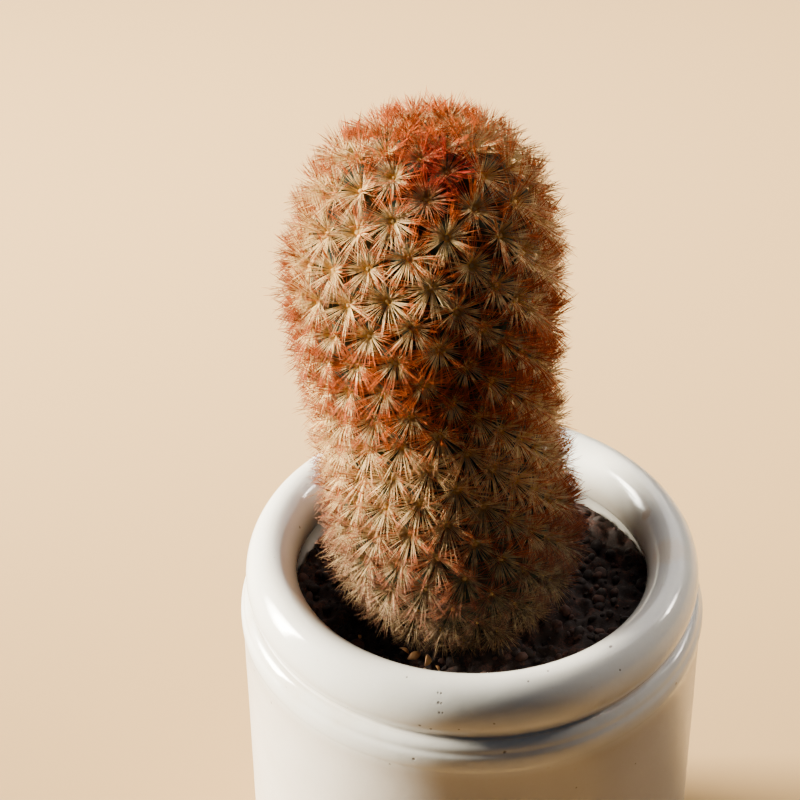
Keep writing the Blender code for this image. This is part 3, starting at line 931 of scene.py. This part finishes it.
def husk_points(roughness):
    """Flakes like small boats.

    Along a flake t goes from 0 to 1. Its half width is 0.27 sin(pi t)^0.8 lengths, its half thickness a
    seventh of that, and its middle line is bent down at both ends by 0.22 (2t - 1)^2 lengths. Its sides are
    bent down by half the square of the distance from that line.
    """
    along = np.linspace(0.0, 1.0, HUSK_ROWS)
    around = circle(HUSK_SIDES)
    swell = 0.27 * np.sin(math.pi * (0.03 + 0.94 * along)) ** 0.8
    x = np.broadcast_to((along - 0.5)[:, None], (HUSK_ROWS, HUSK_SIDES))
    y = swell[:, None] * np.cos(around)
    z = swell[:, None] * np.sin(around) / 7 - 0.22 * ((2 * along - 1) ** 2)[:, None]
    shape = np.stack([x, y, z - 0.5 * y**2], axis=-1).reshape(-1, 3)
    placed = []
    for place_x, place_y, turn, tilt, length in HUSKS:
        rise = soil_height(place_x, place_y) + 1.3 * roughness
        pose = Matrix.Rotation(math.radians(turn), 3, "Z") @ Matrix.Rotation(math.radians(tilt), 3, "X")
        placed.append((place_x, place_y, rise) + length * shape @ np.array(pose).T)
    return np.concatenate(placed)


def husk_material(settings):
    """Thin dry flakes: golden tan, mottled, and browner at the ends."""
    nodes = Material("dry_husk")
    grain = nodes.mottle(900.0, 5200.0, 0.5)
    off_middle = nodes.math("ABSOLUTE", nodes.math("SUBTRACT", nodes.value_of("along"), 0.5))
    colour = nodes.blend(grain, settings.husk, scaled(settings.husk, 1.35))
    return nodes.shade(
        Base_Color=nodes.blend(nodes.between(off_middle, 0.2, 0.5, 0.0, 0.6), colour, (0.28, 0.115, 0.045)),
        Roughness=nodes.between(grain, 0.0, 1.0, 0.42, 0.62),
        Normal=nodes.bump(grain, 0.0001, 0.5),
    )


class MAMMILLARIA_OT_husks(bpy.types.Operator):
    """Lay a few dry flakes at the foot of the stem"""

    bl_idname = "mammillaria.husks"
    bl_label = "Dry Husks"

    def execute(self, context):
        settings = context.scene.mammillaria_mix
        each = HUSK_ROWS * HUSK_SIDES
        side = np.arange(HUSK_SIDES)
        ends = np.stack([side[::-1], each - HUSK_SIDES + side])
        faces = [copied_faces(part, each, len(HUSKS)) for part in (grid_faces(HUSK_ROWS, HUSK_SIDES), ends)]
        points = husk_points(settings.roughness)
        along = np.tile(np.repeat(np.linspace(0.0, 1.0, HUSK_ROWS), HUSK_SIDES), len(HUSKS))
        add_piece("dry_husks", points, faces, husk_material(settings), "potting_mix", along=along)
        return {"FINISHED"}


def leaning(height):
    """How far the plant's axis is moved along X at a height: it leans left, and its crown turns back."""
    lean = PLANT_LEAN * eased((height - SOIL_LEVEL) / LEAN_HEIGHT)
    return lean + CROWN_RETURN * eased((height - LIP_LEVEL - RETURN_START) / RETURN_HEIGHT)


class Stem:
    """The skin of the plant as a surface of revolution about a leaning line, by length along its outline."""

    def __init__(self):
        outline = smooth_outline(STEM_OUTLINE, 16)
        self.radius = outline[:, 0]
        self.height = outline[:, 1] + LIP_LEVEL
        steps = np.hypot(np.diff(self.radius), np.diff(self.height))
        self.length = np.concatenate([[0.0], np.cumsum(steps)])
        self.across = np.gradient(self.radius, self.length)
        self.up = np.gradient(self.height, self.length)

    def at(self, length, angle):
        """The point and the outward direction at a length from the neck and an angle about the axis."""
        known = (self.radius, self.height, self.across, self.up)
        radius, height, across, up = (np.interp(length, self.length, values) for values in known)
        point = polar(radius, angle, height, PLANT_X + leaning(height), PLANT_Y)
        return point, unit(polar(up, angle, -across))

    def spacing(self, length):
        """The distance between areoles: even on the column, and closer towards the crown."""
        to_crown = (self.length[-1] - length) / CROWN_REACH
        return CROWN_SPACING + (AREOLE_SPACING - CROWN_SPACING) * np.clip(to_crown, 0.0, 1.0)

    def areoles(self):
        """The length and angle of each areole: equal turns, and steps that keep the area for each one."""
        area = AREOLE_SHARE * self.spacing(self.length) ** 2
        rate = 2 * math.pi * self.radius / area
        steps = 0.5 * (rate[1:] + rate[:-1]) * np.diff(self.length)
        count = np.concatenate([[0.0], np.cumsum(steps)])
        first = np.interp(LOWEST_AREOLE, self.length, count)
        turns = np.arange(first, count[-1] - CROWN_LEFT_FREE)
        return np.interp(turns, count, self.length), np.arange(len(turns)) * GOLDEN_ANGLE


class Areoles:
    """Every areole's place, outward direction, size, and the two directions along the skin."""

    def __init__(self):
        self.stem = Stem()
        length, angle = self.stem.areoles()
        self.skin, self.outward = self.stem.at(length, angle)
        self.size = self.stem.spacing(length) / AREOLE_SPACING
        self.around = np.stack([-np.sin(angle), np.cos(angle), 0 * angle], axis=-1)
        self.upward = np.cross(self.outward, self.around)
        self.top = self.skin + (AREOLE_RISE * self.size)[:, None] * self.outward
        self.above_lip = self.skin[:, 2] - LIP_LEVEL


def root_points(angles):
    """The root stub's rings: a plain taper up to the neck."""
    share = np.linspace(0.0, 1.0, ROOT_ROWS + 1)[:-1, None]
    radius = ROOT_RADIUS + share * (NECK_RADIUS - ROOT_RADIUS)
    level = NECK_LEVEL - ROOT_DEPTH * (1 - share)
    return polar(radius, angles, level, PLANT_X, PLANT_Y).reshape(-1, 3)


def stem_points(areoles):
    """The skin sunk between the areoles into cones, and the share of a tubercle's height at each point.

    depth = TUBERCLE_DEPTH * size * min(d / reach, 1)^1.9, with d the distance to the nearest areole and
    reach 0.62 of the spacing there. The depth fades in above the neck, and fine wrinkles are added to it.
    """
    stem = areoles.stem
    length = np.linspace(0.0, stem.length[-1], STEM_ROWS + 1)[:-1]
    angles = circle(STEM_COLUMNS)
    skin, outward = stem.at(*np.meshgrid(length, angles, indexing="ij"))
    flat = skin.reshape(-1, 3)
    squares = (flat**2).sum(axis=1)[:, None] + (areoles.skin**2).sum(axis=1)[None] - 2 * flat @ areoles.skin.T
    nearest = squares.argmin(axis=1)
    distance = np.sqrt(np.maximum(squares[np.arange(len(flat)), nearest], 0.0))
    size = areoles.size[nearest]
    fall = np.minimum(distance / (0.62 * AREOLE_SPACING * size), 1.0) ** 1.9
    fade = eased(np.repeat(length, STEM_COLUMNS) / LOWEST_AREOLE)
    depth = TUBERCLE_DEPTH * size * fall * fade
    wrinkles = WRINKLE_DEPTH * layered_noise(flat, 0.0016, 2, STEM_SEED)
    flat = flat - (depth + wrinkles)[:, None] * outward.reshape(-1, 3)
    root = root_points(angles)
    crown = stem.at(stem.length[-1], 0.0)[0] - (0, 0, CROWN_DIMPLE)
    foot = (PLANT_X, PLANT_Y, NECK_LEVEL - ROOT_DEPTH)
    rise = np.concatenate([np.zeros(len(root)), 1 - fall, [1.0, 0.0]])
    return np.concatenate([root, flat, [crown, foot]]), rise


def flesh_material(settings):
    """Dark grey-green skin, darker down in the valleys as painted shade, paler and warmer on the tubercles'
    tips, with fine dots.
    """
    nodes = Material("cactus_flesh")
    rise = nodes.value_of("rise")
    mottle = nodes.mottle(420.0, 4200.0, 0.4)
    pale = scaled(settings.flesh, 1.5)
    # Painted shade: the skin goes darker down in the valleys between the tubercles.
    colour = nodes.blend(nodes.between(rise, 0.0, 0.65), scaled(settings.flesh, 0.42), settings.flesh)
    colour = nodes.blend(nodes.between(rise, 0.6, 1.0), colour, pale)
    colour = nodes.paint(colour, nodes.specks(2600.0, 0.6, 0.22), 0.4, pale)
    return nodes.shade(
        Base_Color=nodes.blend(mottle, nodes.tinted(colour, (0.62, 0.60, 0.50)), colour),
        Roughness=nodes.between(mottle, 0.0, 1.0, 0.66, 0.84),
        Normal=nodes.bump(mottle, 0.00012, 0.5),
        Specular_IOR_Level=0.08,
    )


class MAMMILLARIA_OT_stem(bpy.types.Operator):
    """Grow the fleshy column with its tubercles, in place of the plain plant"""

    bl_idname = "mammillaria.stem"
    bl_label = "Fleshy Stem"

    def execute(self, context):
        settings = context.scene.mammillaria_plant
        points, rise = stem_points(Areoles())
        faces = closed_faces(ROOT_ROWS + STEM_ROWS, STEM_COLUMNS)
        add_piece("cactus_stem", points, faces, flesh_material(settings), "cactus", "cactus", rise=rise)
        return {"FINISHED"}


def felt_points(areoles):
    """A cushion of wool on each areole, roughened by noise, and how many points a cushion has."""
    rings = [polar(radius, circle(FELT_SIDES), rise) for radius, rise in FELT_RINGS]
    shape = np.concatenate([*rings, [(0.0, 0.0, FELT_TOP), (0.0, 0.0, FELT_RINGS[0][1])]])
    scale = np.outer(areoles.size, (FELT_RADIUS, FELT_RADIUS, FELT_HEIGHT))
    local = shape[None] * scale[:, None]
    points = areoles.skin[:, None] + local[:, :, :1] * areoles.around[:, None]
    points = points + local[:, :, 1:2] * areoles.upward[:, None] + local[:, :, 2:] * areoles.outward[:, None]
    flat = points.reshape(-1, 3)
    lumps = layered_noise(flat, 0.0007, 2, STEM_SEED + 4)
    outward = np.repeat(areoles.outward, len(shape), axis=0)
    return flat + FELT_ROUGHNESS * lumps[:, None] * outward, len(shape)


def felt_material(settings):
    """Short wool: cream to golden brown, soft and matt."""
    nodes = Material("areole_felt")
    wool = nodes.mottle(260.0, 6000.0, 0.55)
    return nodes.shade(
        Base_Color=nodes.blend(wool, scaled(settings.felt, 0.45), settings.felt),
        Roughness=nodes.between(wool, 0.0, 1.0, 0.8, 0.98),
        Normal=nodes.bump(wool, 0.00015, 0.8),
    )


class MAMMILLARIA_OT_felt(bpy.types.Operator):
    """Put a small cushion of wool on each areole"""

    bl_idname = "mammillaria.felt"
    bl_label = "Areole Felt"

    def execute(self, context):
        settings = context.scene.mammillaria_plant
        areoles = Areoles()
        points, each = felt_points(areoles)
        side, top, bottom = closed_faces(len(FELT_RINGS), FELT_SIDES)
        parts = (side, np.concatenate([top, bottom]))
        faces = [copied_faces(part, each, len(areoles.skin)) for part in parts]
        add_piece("areole_felt", points, faces, felt_material(settings), "cactus")
        return {"FINISHED"}


def pin_faces():
    """Triangles of one pin by point number, with the place of each corner on the pin's strip of the map."""
    rings = range(len(PIN_RINGS))
    corners = [[(2, 0.0, 0.0), (1, 0.5, 0.0), (0, 1.0, 0.0)]]
    for side in range(PIN_SIDES):
        left, right = (
            [(row * PIN_SIDES + edge % PIN_SIDES, edge / PIN_SIDES, PIN_RINGS[row][0]) for row in rings]
            for edge in (side, side + 1)
        )
        for a, b, c, d in zip(left, right, right[1:], left[1:]):
            corners += [[a, b, c], [a, c, d]]
        corners.append([left[-1], right[-1], (len(PIN_RINGS) * PIN_SIDES, (side + 0.5) / PIN_SIDES, 1.0)])
    corners = np.array(corners)
    return corners[..., 0].astype(int), corners[..., 1:]


class SpineSet:
    """All spines as arrays: root, direction, bend, length and the numbers for their colour.

    Bundle k of an areole leaves it at k golden angles about the outward direction, and its lift off the skin
    grows with k from the flattest to the steepest. The spines of a bundle start a few degrees apart, d for
    each and b for their bundle, and close up towards their tips. A spine's line is
    root + length (t d + t^2 bend), t from 0 to 1, with bend = BUNDLE_CLOSING (b - d) and a little of its own.
    """

    def __init__(self, areoles, settings):
        self.areoles = areoles
        draw = np.random.default_rng(SPINE_SEED)
        stars = len(areoles.skin)
        many = (stars, settings.spines)
        bundles = max(1, settings.spines // BUNDLED)
        bundle = np.arange(settings.spines) % bundles
        share = (bundle + 0.5) / bundles
        turn = GOLDEN_ANGLE * bundle + 2 * math.pi * draw.random((stars, 1))
        turn = turn + draw.normal(0.0, BUNDLE_TURN, (stars, bundles))[:, bundle]
        lift = settings.flattest + (settings.steepest - settings.flattest) * share**1.15
        lift = lift + draw.normal(0.0, BUNDLE_LIFT, (stars, bundles))[:, bundle]
        lift = lift + draw.normal(0.0, STAR_LIFT, (stars, 1))
        # Old spines at the foot are matted, so they lie in disorder.
        above = areoles.above_lip[:, None]
        matted = 1 - eased((above - MATTED_FROM) / MATTED_OVER)
        lift = lift + matted * draw.normal(0.0, MATTED_LIFT, many)
        # Young spines round the crown stand up and close over it.
        lift = lift + eased((above - YOUNG_FROM) / YOUNG_OVER) * YOUNG_LIFT * (1 - share)
        loose = np.where(draw.random(many) < LOOSE_SHARE, LOOSE_SCATTER, 1.0)
        own_turn = turn + loose * draw.normal(0.0, SPINE_TURN, many)
        own_lift = lift + loose * draw.normal(0.0, SPINE_LIFT, many)
        # A turn goes from the way round the plant to the way up its skin.
        skin = areoles.around[:, None], areoles.upward[:, None]
        side = turned(turn, *skin)
        own_side = turned(own_turn, *skin)
        # Each star faces a little its own way.
        wander = draw.normal(0.0, STAR_FACING, (stars, 2))
        facing = areoles.outward + wander[:, :1] * areoles.around + wander[:, 1:] * areoles.upward
        outward = np.broadcast_to(unit(facing)[:, None], side.shape)
        direction = turned(lift, side, outward)
        self.direction = turned(own_lift, own_side, outward)
        self.root = areoles.top[:, None] + (0.55 * AREOLE_RADIUS * areoles.size)[:, None, None] * own_side
        self.root = self.root - SPINE_SUNK * outward
        grown = eased((areoles.skin[:, 2] - SOIL_LEVEL) / OLD_SPINE_HEIGHT)
        worn = OLD_SPINE_SHARE + (1 - OLD_SPINE_SHARE) * grown
        full = settings.length * worn * areoles.size**YOUNG_SPINE_POWER * draw.normal(1.0, 0.05, stars)
        self.length = full[:, None] * (1.0 - 0.12 * share) * draw.normal(0.92, 0.11, many).clip(0.50, 1.10)
        sideways = np.cross(self.direction, side)
        self.bend = BUNDLE_CLOSING * (direction - self.direction)
        self.bend = self.bend + draw.normal(0.0, SIDE_BEND, many)[..., None] * sideways
        self.bend = self.bend - draw.normal(DOWN_BEND, DOWN_BEND_SPREAD, many)[..., None] * outward
        self.bend = self.bend + (MATTED_BEND * matted * draw.normal(0.0, 1.0, many))[..., None] * sideways
        self.thickness = settings.thickness * draw.normal(1.0, 0.12, many).clip(0.7, 1.3)
        self.tone = draw.random(many)
        self.rise = np.sin(turn)
        # The spines stay out of the solid's potting mix and below the frame's top.
        tip = self.tip()
        self.stop_at(soil_height(tip[..., 0], tip[..., 1]) + SOIL_CLEARANCE, -1, 0.25)
        self.stop_at(FRAME_BOUNDS[1][2] - TOP_CLEARANCE, 1, 0.3)
        self.above = self.root[..., 2] - LIP_LEVEL + 0.6 * (self.tip()[..., 2] - self.root[..., 2])
        self.colour_numbers(draw)

    def tip(self):
        return self.root + self.length[..., None] * (self.direction + self.bend)

    def stop_at(self, level, way, least):
        """Shortens the spines that pass a level, upwards or downwards, but to no less than a share."""
        root = self.root[..., 2]
        tip = self.tip()[..., 2]
        room = way * (level - root) / np.maximum(way * (tip - root), 1e-9)
        past = way * (tip - level) > 0
        self.length = np.where(past, self.length * np.clip(room, least, 1.0), self.length)

    def colour_numbers(self, draw):
        """How red and how dark each spine is, and how far it is dusted and darkened by painted shade, by its
        height, with patches and its own draw.
        """
        heights, redness = np.array(REDNESS_BY_HEIGHT).T
        flat = self.root.reshape(-1, 3)
        patches = layered_noise(flat, 0.011, 2, STEM_SEED + 8).reshape(self.above.shape)
        height = self.above + 0.0025 * patches
        self.redness = np.interp(height, heights, redness) + 0.16 * patches + 0.22 * self.rise
        self.redness = (self.redness + draw.normal(0.0, 0.10, self.above.shape)).clip(0.0, 1.2)
        away = np.linalg.norm(self.root[..., :2] - np.array(CROWN_MIDDLE), axis=-1) + 0.0006 * patches
        self.darkness = (self.above > CROWN_LEVEL) * (1 - eased((away - CROWN_DARK_TO) / CROWN_DARK_OVER))
        # Partly painted shade: the lower spines go towards the dark dusted colour, which stands for old grimy
        # spines and for the shade low on the plant.
        self.dust = 1 - eased((height + DUST_AND_SHADE_OVER - DUST_AND_SHADE_TO) / DUST_AND_SHADE_OVER)
        # Painted shade: the spines that face the window get a lower tone, so they come out darker against the
        # strong light there.
        painted_shade_side = eased(-self.areoles.outward[:, :1] - 0.1)
        self.tone = self.tone * (1 - WINDOW_SIDE_PAINTED_SHADE * painted_shade_side)

    def pins(self, chosen):
        """Points of the chosen areoles' pins, three round each ring and one at the tip."""
        lines = (self.root, self.direction, self.bend)
        root, direction, bend = (values[chosen].reshape(-1, 1, 3) for values in lines)
        length, thickness = (values[chosen].reshape(-1, 1, 1) for values in (self.length, self.thickness))
        across = unit(np.cross(direction, np.array([0.31, -0.42, 0.85])))
        other = np.cross(direction, across)
        rings = np.repeat(np.array(PIN_RINGS), PIN_SIDES, axis=0)
        t = np.append(rings[:, 0], 1.0)[None, :, None]
        width = np.append(rings[:, 1], 0.0)[None, :, None] * thickness
        around = np.append(np.tile(circle(PIN_SIDES), len(PIN_RINGS)), 0.0)[None]
        return root + length * (t * direction + t * t * bend) + width * turned(around, across, other)


def add_strip_map(piece, places, count):
    """A map with a cell of its own for each pin, the pin's length up the cell."""
    columns = math.ceil(math.sqrt(count))
    rows = math.ceil(count / columns)
    number = np.arange(count)[:, None, None]
    u = (number % columns + 0.08 + 0.84 * places[None, ..., 0]) / columns
    v = (number // columns + 0.06 + 0.88 * places[None, ..., 1]) / rows
    layer = piece.data.uv_layers.new(name="OFBake")
    layer.data.foreach_set("uv", np.stack([u, v], axis=-1).astype(np.float32).ravel())


def spine_material(settings):
    """Spines: golden roots, cream shafts and rust ends, redder, darker, or dustier and darker by painted
    shade by the pin's numbers; the low tone on the window side is painted shade as well.
    """
    nodes = Material("cactus_spines")
    along, tone, redness, darkness, dust = (nodes.value_of(key) for key in ("along", *SPINE_VALUES))
    golden = tuple(0.44 * (a + b) for a, b in zip(settings.shaft, settings.root))
    # A low tone gives the deeper shaft and end colours; on the window side this is painted shade.
    shaft = nodes.blend(tone, golden, scaled(settings.shaft, 1.12))
    colour = nodes.blend(nodes.between(along, 0.02, 0.14, 0.60, 0.0), shaft, settings.root)
    # The red end starts nearer to the root the redder the spine is.
    start = nodes.times_plus(redness, -0.46, 0.72)
    end = nodes.between(along, start, nodes.math("ADD", start, 0.24))
    rust = nodes.blend(tone, scaled(settings.tip, 0.28), settings.tip)
    colour = nodes.blend(nodes.times(end, nodes.between(redness, 0.0, 0.60, 0.45, 1.0)), colour, rust)
    dark = nodes.times(darkness, nodes.between(along, 0.0, 0.45, 0.35, 1.0))
    colour = nodes.blend(dark, colour, settings.crown)
    speckle = nodes.noise(1600.0, 2.0)
    # Dusted look and painted shade on the lower spines, patchy by the speckle.
    dusty_and_shaded = nodes.times(dust, nodes.between(speckle, 0.3, 0.7, 0.60, 1.00))
    return nodes.shade(
        Base_Color=nodes.blend(dusty_and_shaded, colour, settings.dust),
        Roughness=nodes.between(speckle, 0.3, 0.7, 0.48, 0.66),
        Specular_IOR_Level=0.08,
    )


class MAMMILLARIA_OT_spines(bpy.types.Operator):
    """Grow a star of fine spines from each areole, in pieces by height"""

    bl_idname = "mammillaria.spines"
    bl_label = "Spines"

    def execute(self, context):
        settings = context.scene.mammillaria_plant
        areoles = Areoles()
        spines = SpineSet(areoles, settings)
        finish = spine_material(settings)
        faces, places = pin_faces()
        along = np.append(np.repeat([share for share, _ in PIN_RINGS], PIN_SIDES), 1.0)
        each = len(along)
        low = -1.0
        for name, high in SPINE_PIECES:
            chosen = (areoles.above_lip >= low) & (areoles.above_lip < high)
            low = high
            points = spines.pins(chosen)
            count = len(points)
            if not count:
                raise RuntimeError("No areole lies at the height of " + name)
            listed = (copied_faces(faces, each, count),)
            own = {key: np.repeat(getattr(spines, key)[chosen].ravel(), each) for key in SPINE_VALUES}
            own["along"] = np.tile(along, count)
            piece = add_piece(name, points.reshape(-1, 3), listed, finish, "cactus", **own)
            add_strip_map(piece, places, count)
        return {"FINISHED"}


def floor_material(settings):
    """A plain pale floor with the faintest unevenness of tone."""
    nodes = Material("pale_floor")
    colour = nodes.blend(nodes.noise(6.0), settings.floor, scaled(settings.floor, 0.97))
    return nodes.shade(Base_Color=colour, Roughness=0.85)


def add_light(name, place, aim, size, colour, spread, power):
    """An area light at a place, turned towards a point, that shines into a cone of so many degrees."""
    lamp = bpy.data.lights.new(name, "AREA")
    lamp.shape = "RECTANGLE"
    lamp.size, lamp.size_y = size
    lamp.energy = power
    lamp.color = colour
    lamp.spread = math.radians(spread)
    light = bpy.data.objects.new(name, lamp)
    light.location = place
    light.rotation_euler = (Vector(aim) - Vector(place)).to_track_quat("-Z", "Y").to_euler()
    bpy.context.scene.collection.objects.link(light)


def add_camera(scene):
    """The camera, placed and turned by the named values."""
    lens = bpy.data.cameras.new("viewer")
    lens.lens = CAMERA_LENS
    lens.sensor_width = CAMERA_SENSOR
    lens.clip_start = CAMERA_NEAREST
    camera = bpy.data.objects.new("viewer", lens)
    turn = Matrix((CAMERA_RIGHT, CAMERA_UP, -Vector(CAMERA_FORWARD))).transposed()
    camera.matrix_world = Matrix.Translation(CAMERA_PLACE) @ turn.to_4x4()
    scene.collection.objects.link(camera)
    scene.camera = camera


class MAMMILLARIA_OT_stage(bpy.types.Operator):
    """Set a plain pale floor, soft light from the left and the camera"""

    bl_idname = "mammillaria.stage"
    bl_label = "Stage"

    def execute(self, context):
        settings = context.scene.mammillaria_stage
        corners = [(x * FLOOR_REACH, y * FLOOR_REACH, 0) for x, y in ((-1, -1), (1, -1), (1, 1), (-1, 1))]
        mesh = bpy.data.meshes.new("floor")
        mesh.from_pydata(corners, [], [(0, 1, 2, 3)])
        mesh.materials.append(floor_material(settings))
        floor = bpy.data.objects.new("floor", mesh)
        context.scene.collection.objects.link(floor)
        for lamp in LAMPS:
            add_light(*lamp, getattr(settings, lamp[0]))
        world = bpy.data.worlds.new("room")
        world.use_nodes = True
        background = world.node_tree.nodes["Background"]
        background.inputs["Color"].default_value = SKY_COLOUR
        background.inputs["Strength"].default_value = settings.sky
        context.scene.world = world
        add_camera(context.scene)
        return {"FINISHED"}


OPERATORS = (
    MAMMILLARIA_OT_jar,
    MAMMILLARIA_OT_potting_mix,
    MAMMILLARIA_OT_lumps,
    MAMMILLARIA_OT_husks,
    MAMMILLARIA_OT_stem,
    MAMMILLARIA_OT_felt,
    MAMMILLARIA_OT_spines,
    MAMMILLARIA_OT_stage,
)
SETTINGS = {
    "mammillaria_jar": JarSettings,
    "mammillaria_mix": MixSettings,
    "mammillaria_plant": PlantSettings,
    "mammillaria_stage": StageSettings,
}


class MAMMILLARIA_PT_panel(bpy.types.Panel):
    """The pieces of the plant and its jar, in the order in which they are built"""

    bl_idname = "MAMMILLARIA_PT_panel"
    bl_label = "Potted Mammillaria"
    bl_space_type = "VIEW_3D"
    bl_region_type = "UI"
    bl_category = "Mammillaria"

    def draw(self, context):
        column = self.layout.column(align=True)
        for operator in OPERATORS:
            column.operator(operator.bl_idname)
        for name in SETTINGS:
            group = getattr(context.scene, name)
            box = self.layout.box()
            for key in group.__annotations__:
                box.prop(group, key)


CLASSES = (*SETTINGS.values(), *OPERATORS, MAMMILLARIA_PT_panel)


def register():
    for kind in CLASSES:
        bpy.utils.register_class(kind)
    for name, kind in SETTINGS.items():
        setattr(bpy.types.Scene, name, bpy.props.PointerProperty(type=kind))


def unregister():
    for name in SETTINGS:
        delattr(bpy.types.Scene, name)
    for kind in reversed(CLASSES):
        bpy.utils.unregister_class(kind)


def main():
    register()
    bpy.ops.mammillaria.jar()
    bpy.ops.mammillaria.potting_mix()
    bpy.ops.mammillaria.lumps()
    bpy.ops.mammillaria.husks()
    bpy.ops.mammillaria.stem()
    bpy.ops.mammillaria.felt()
    bpy.ops.mammillaria.spines()
    bpy.ops.mammillaria.stage()


if __name__ == "__main__":
    main()
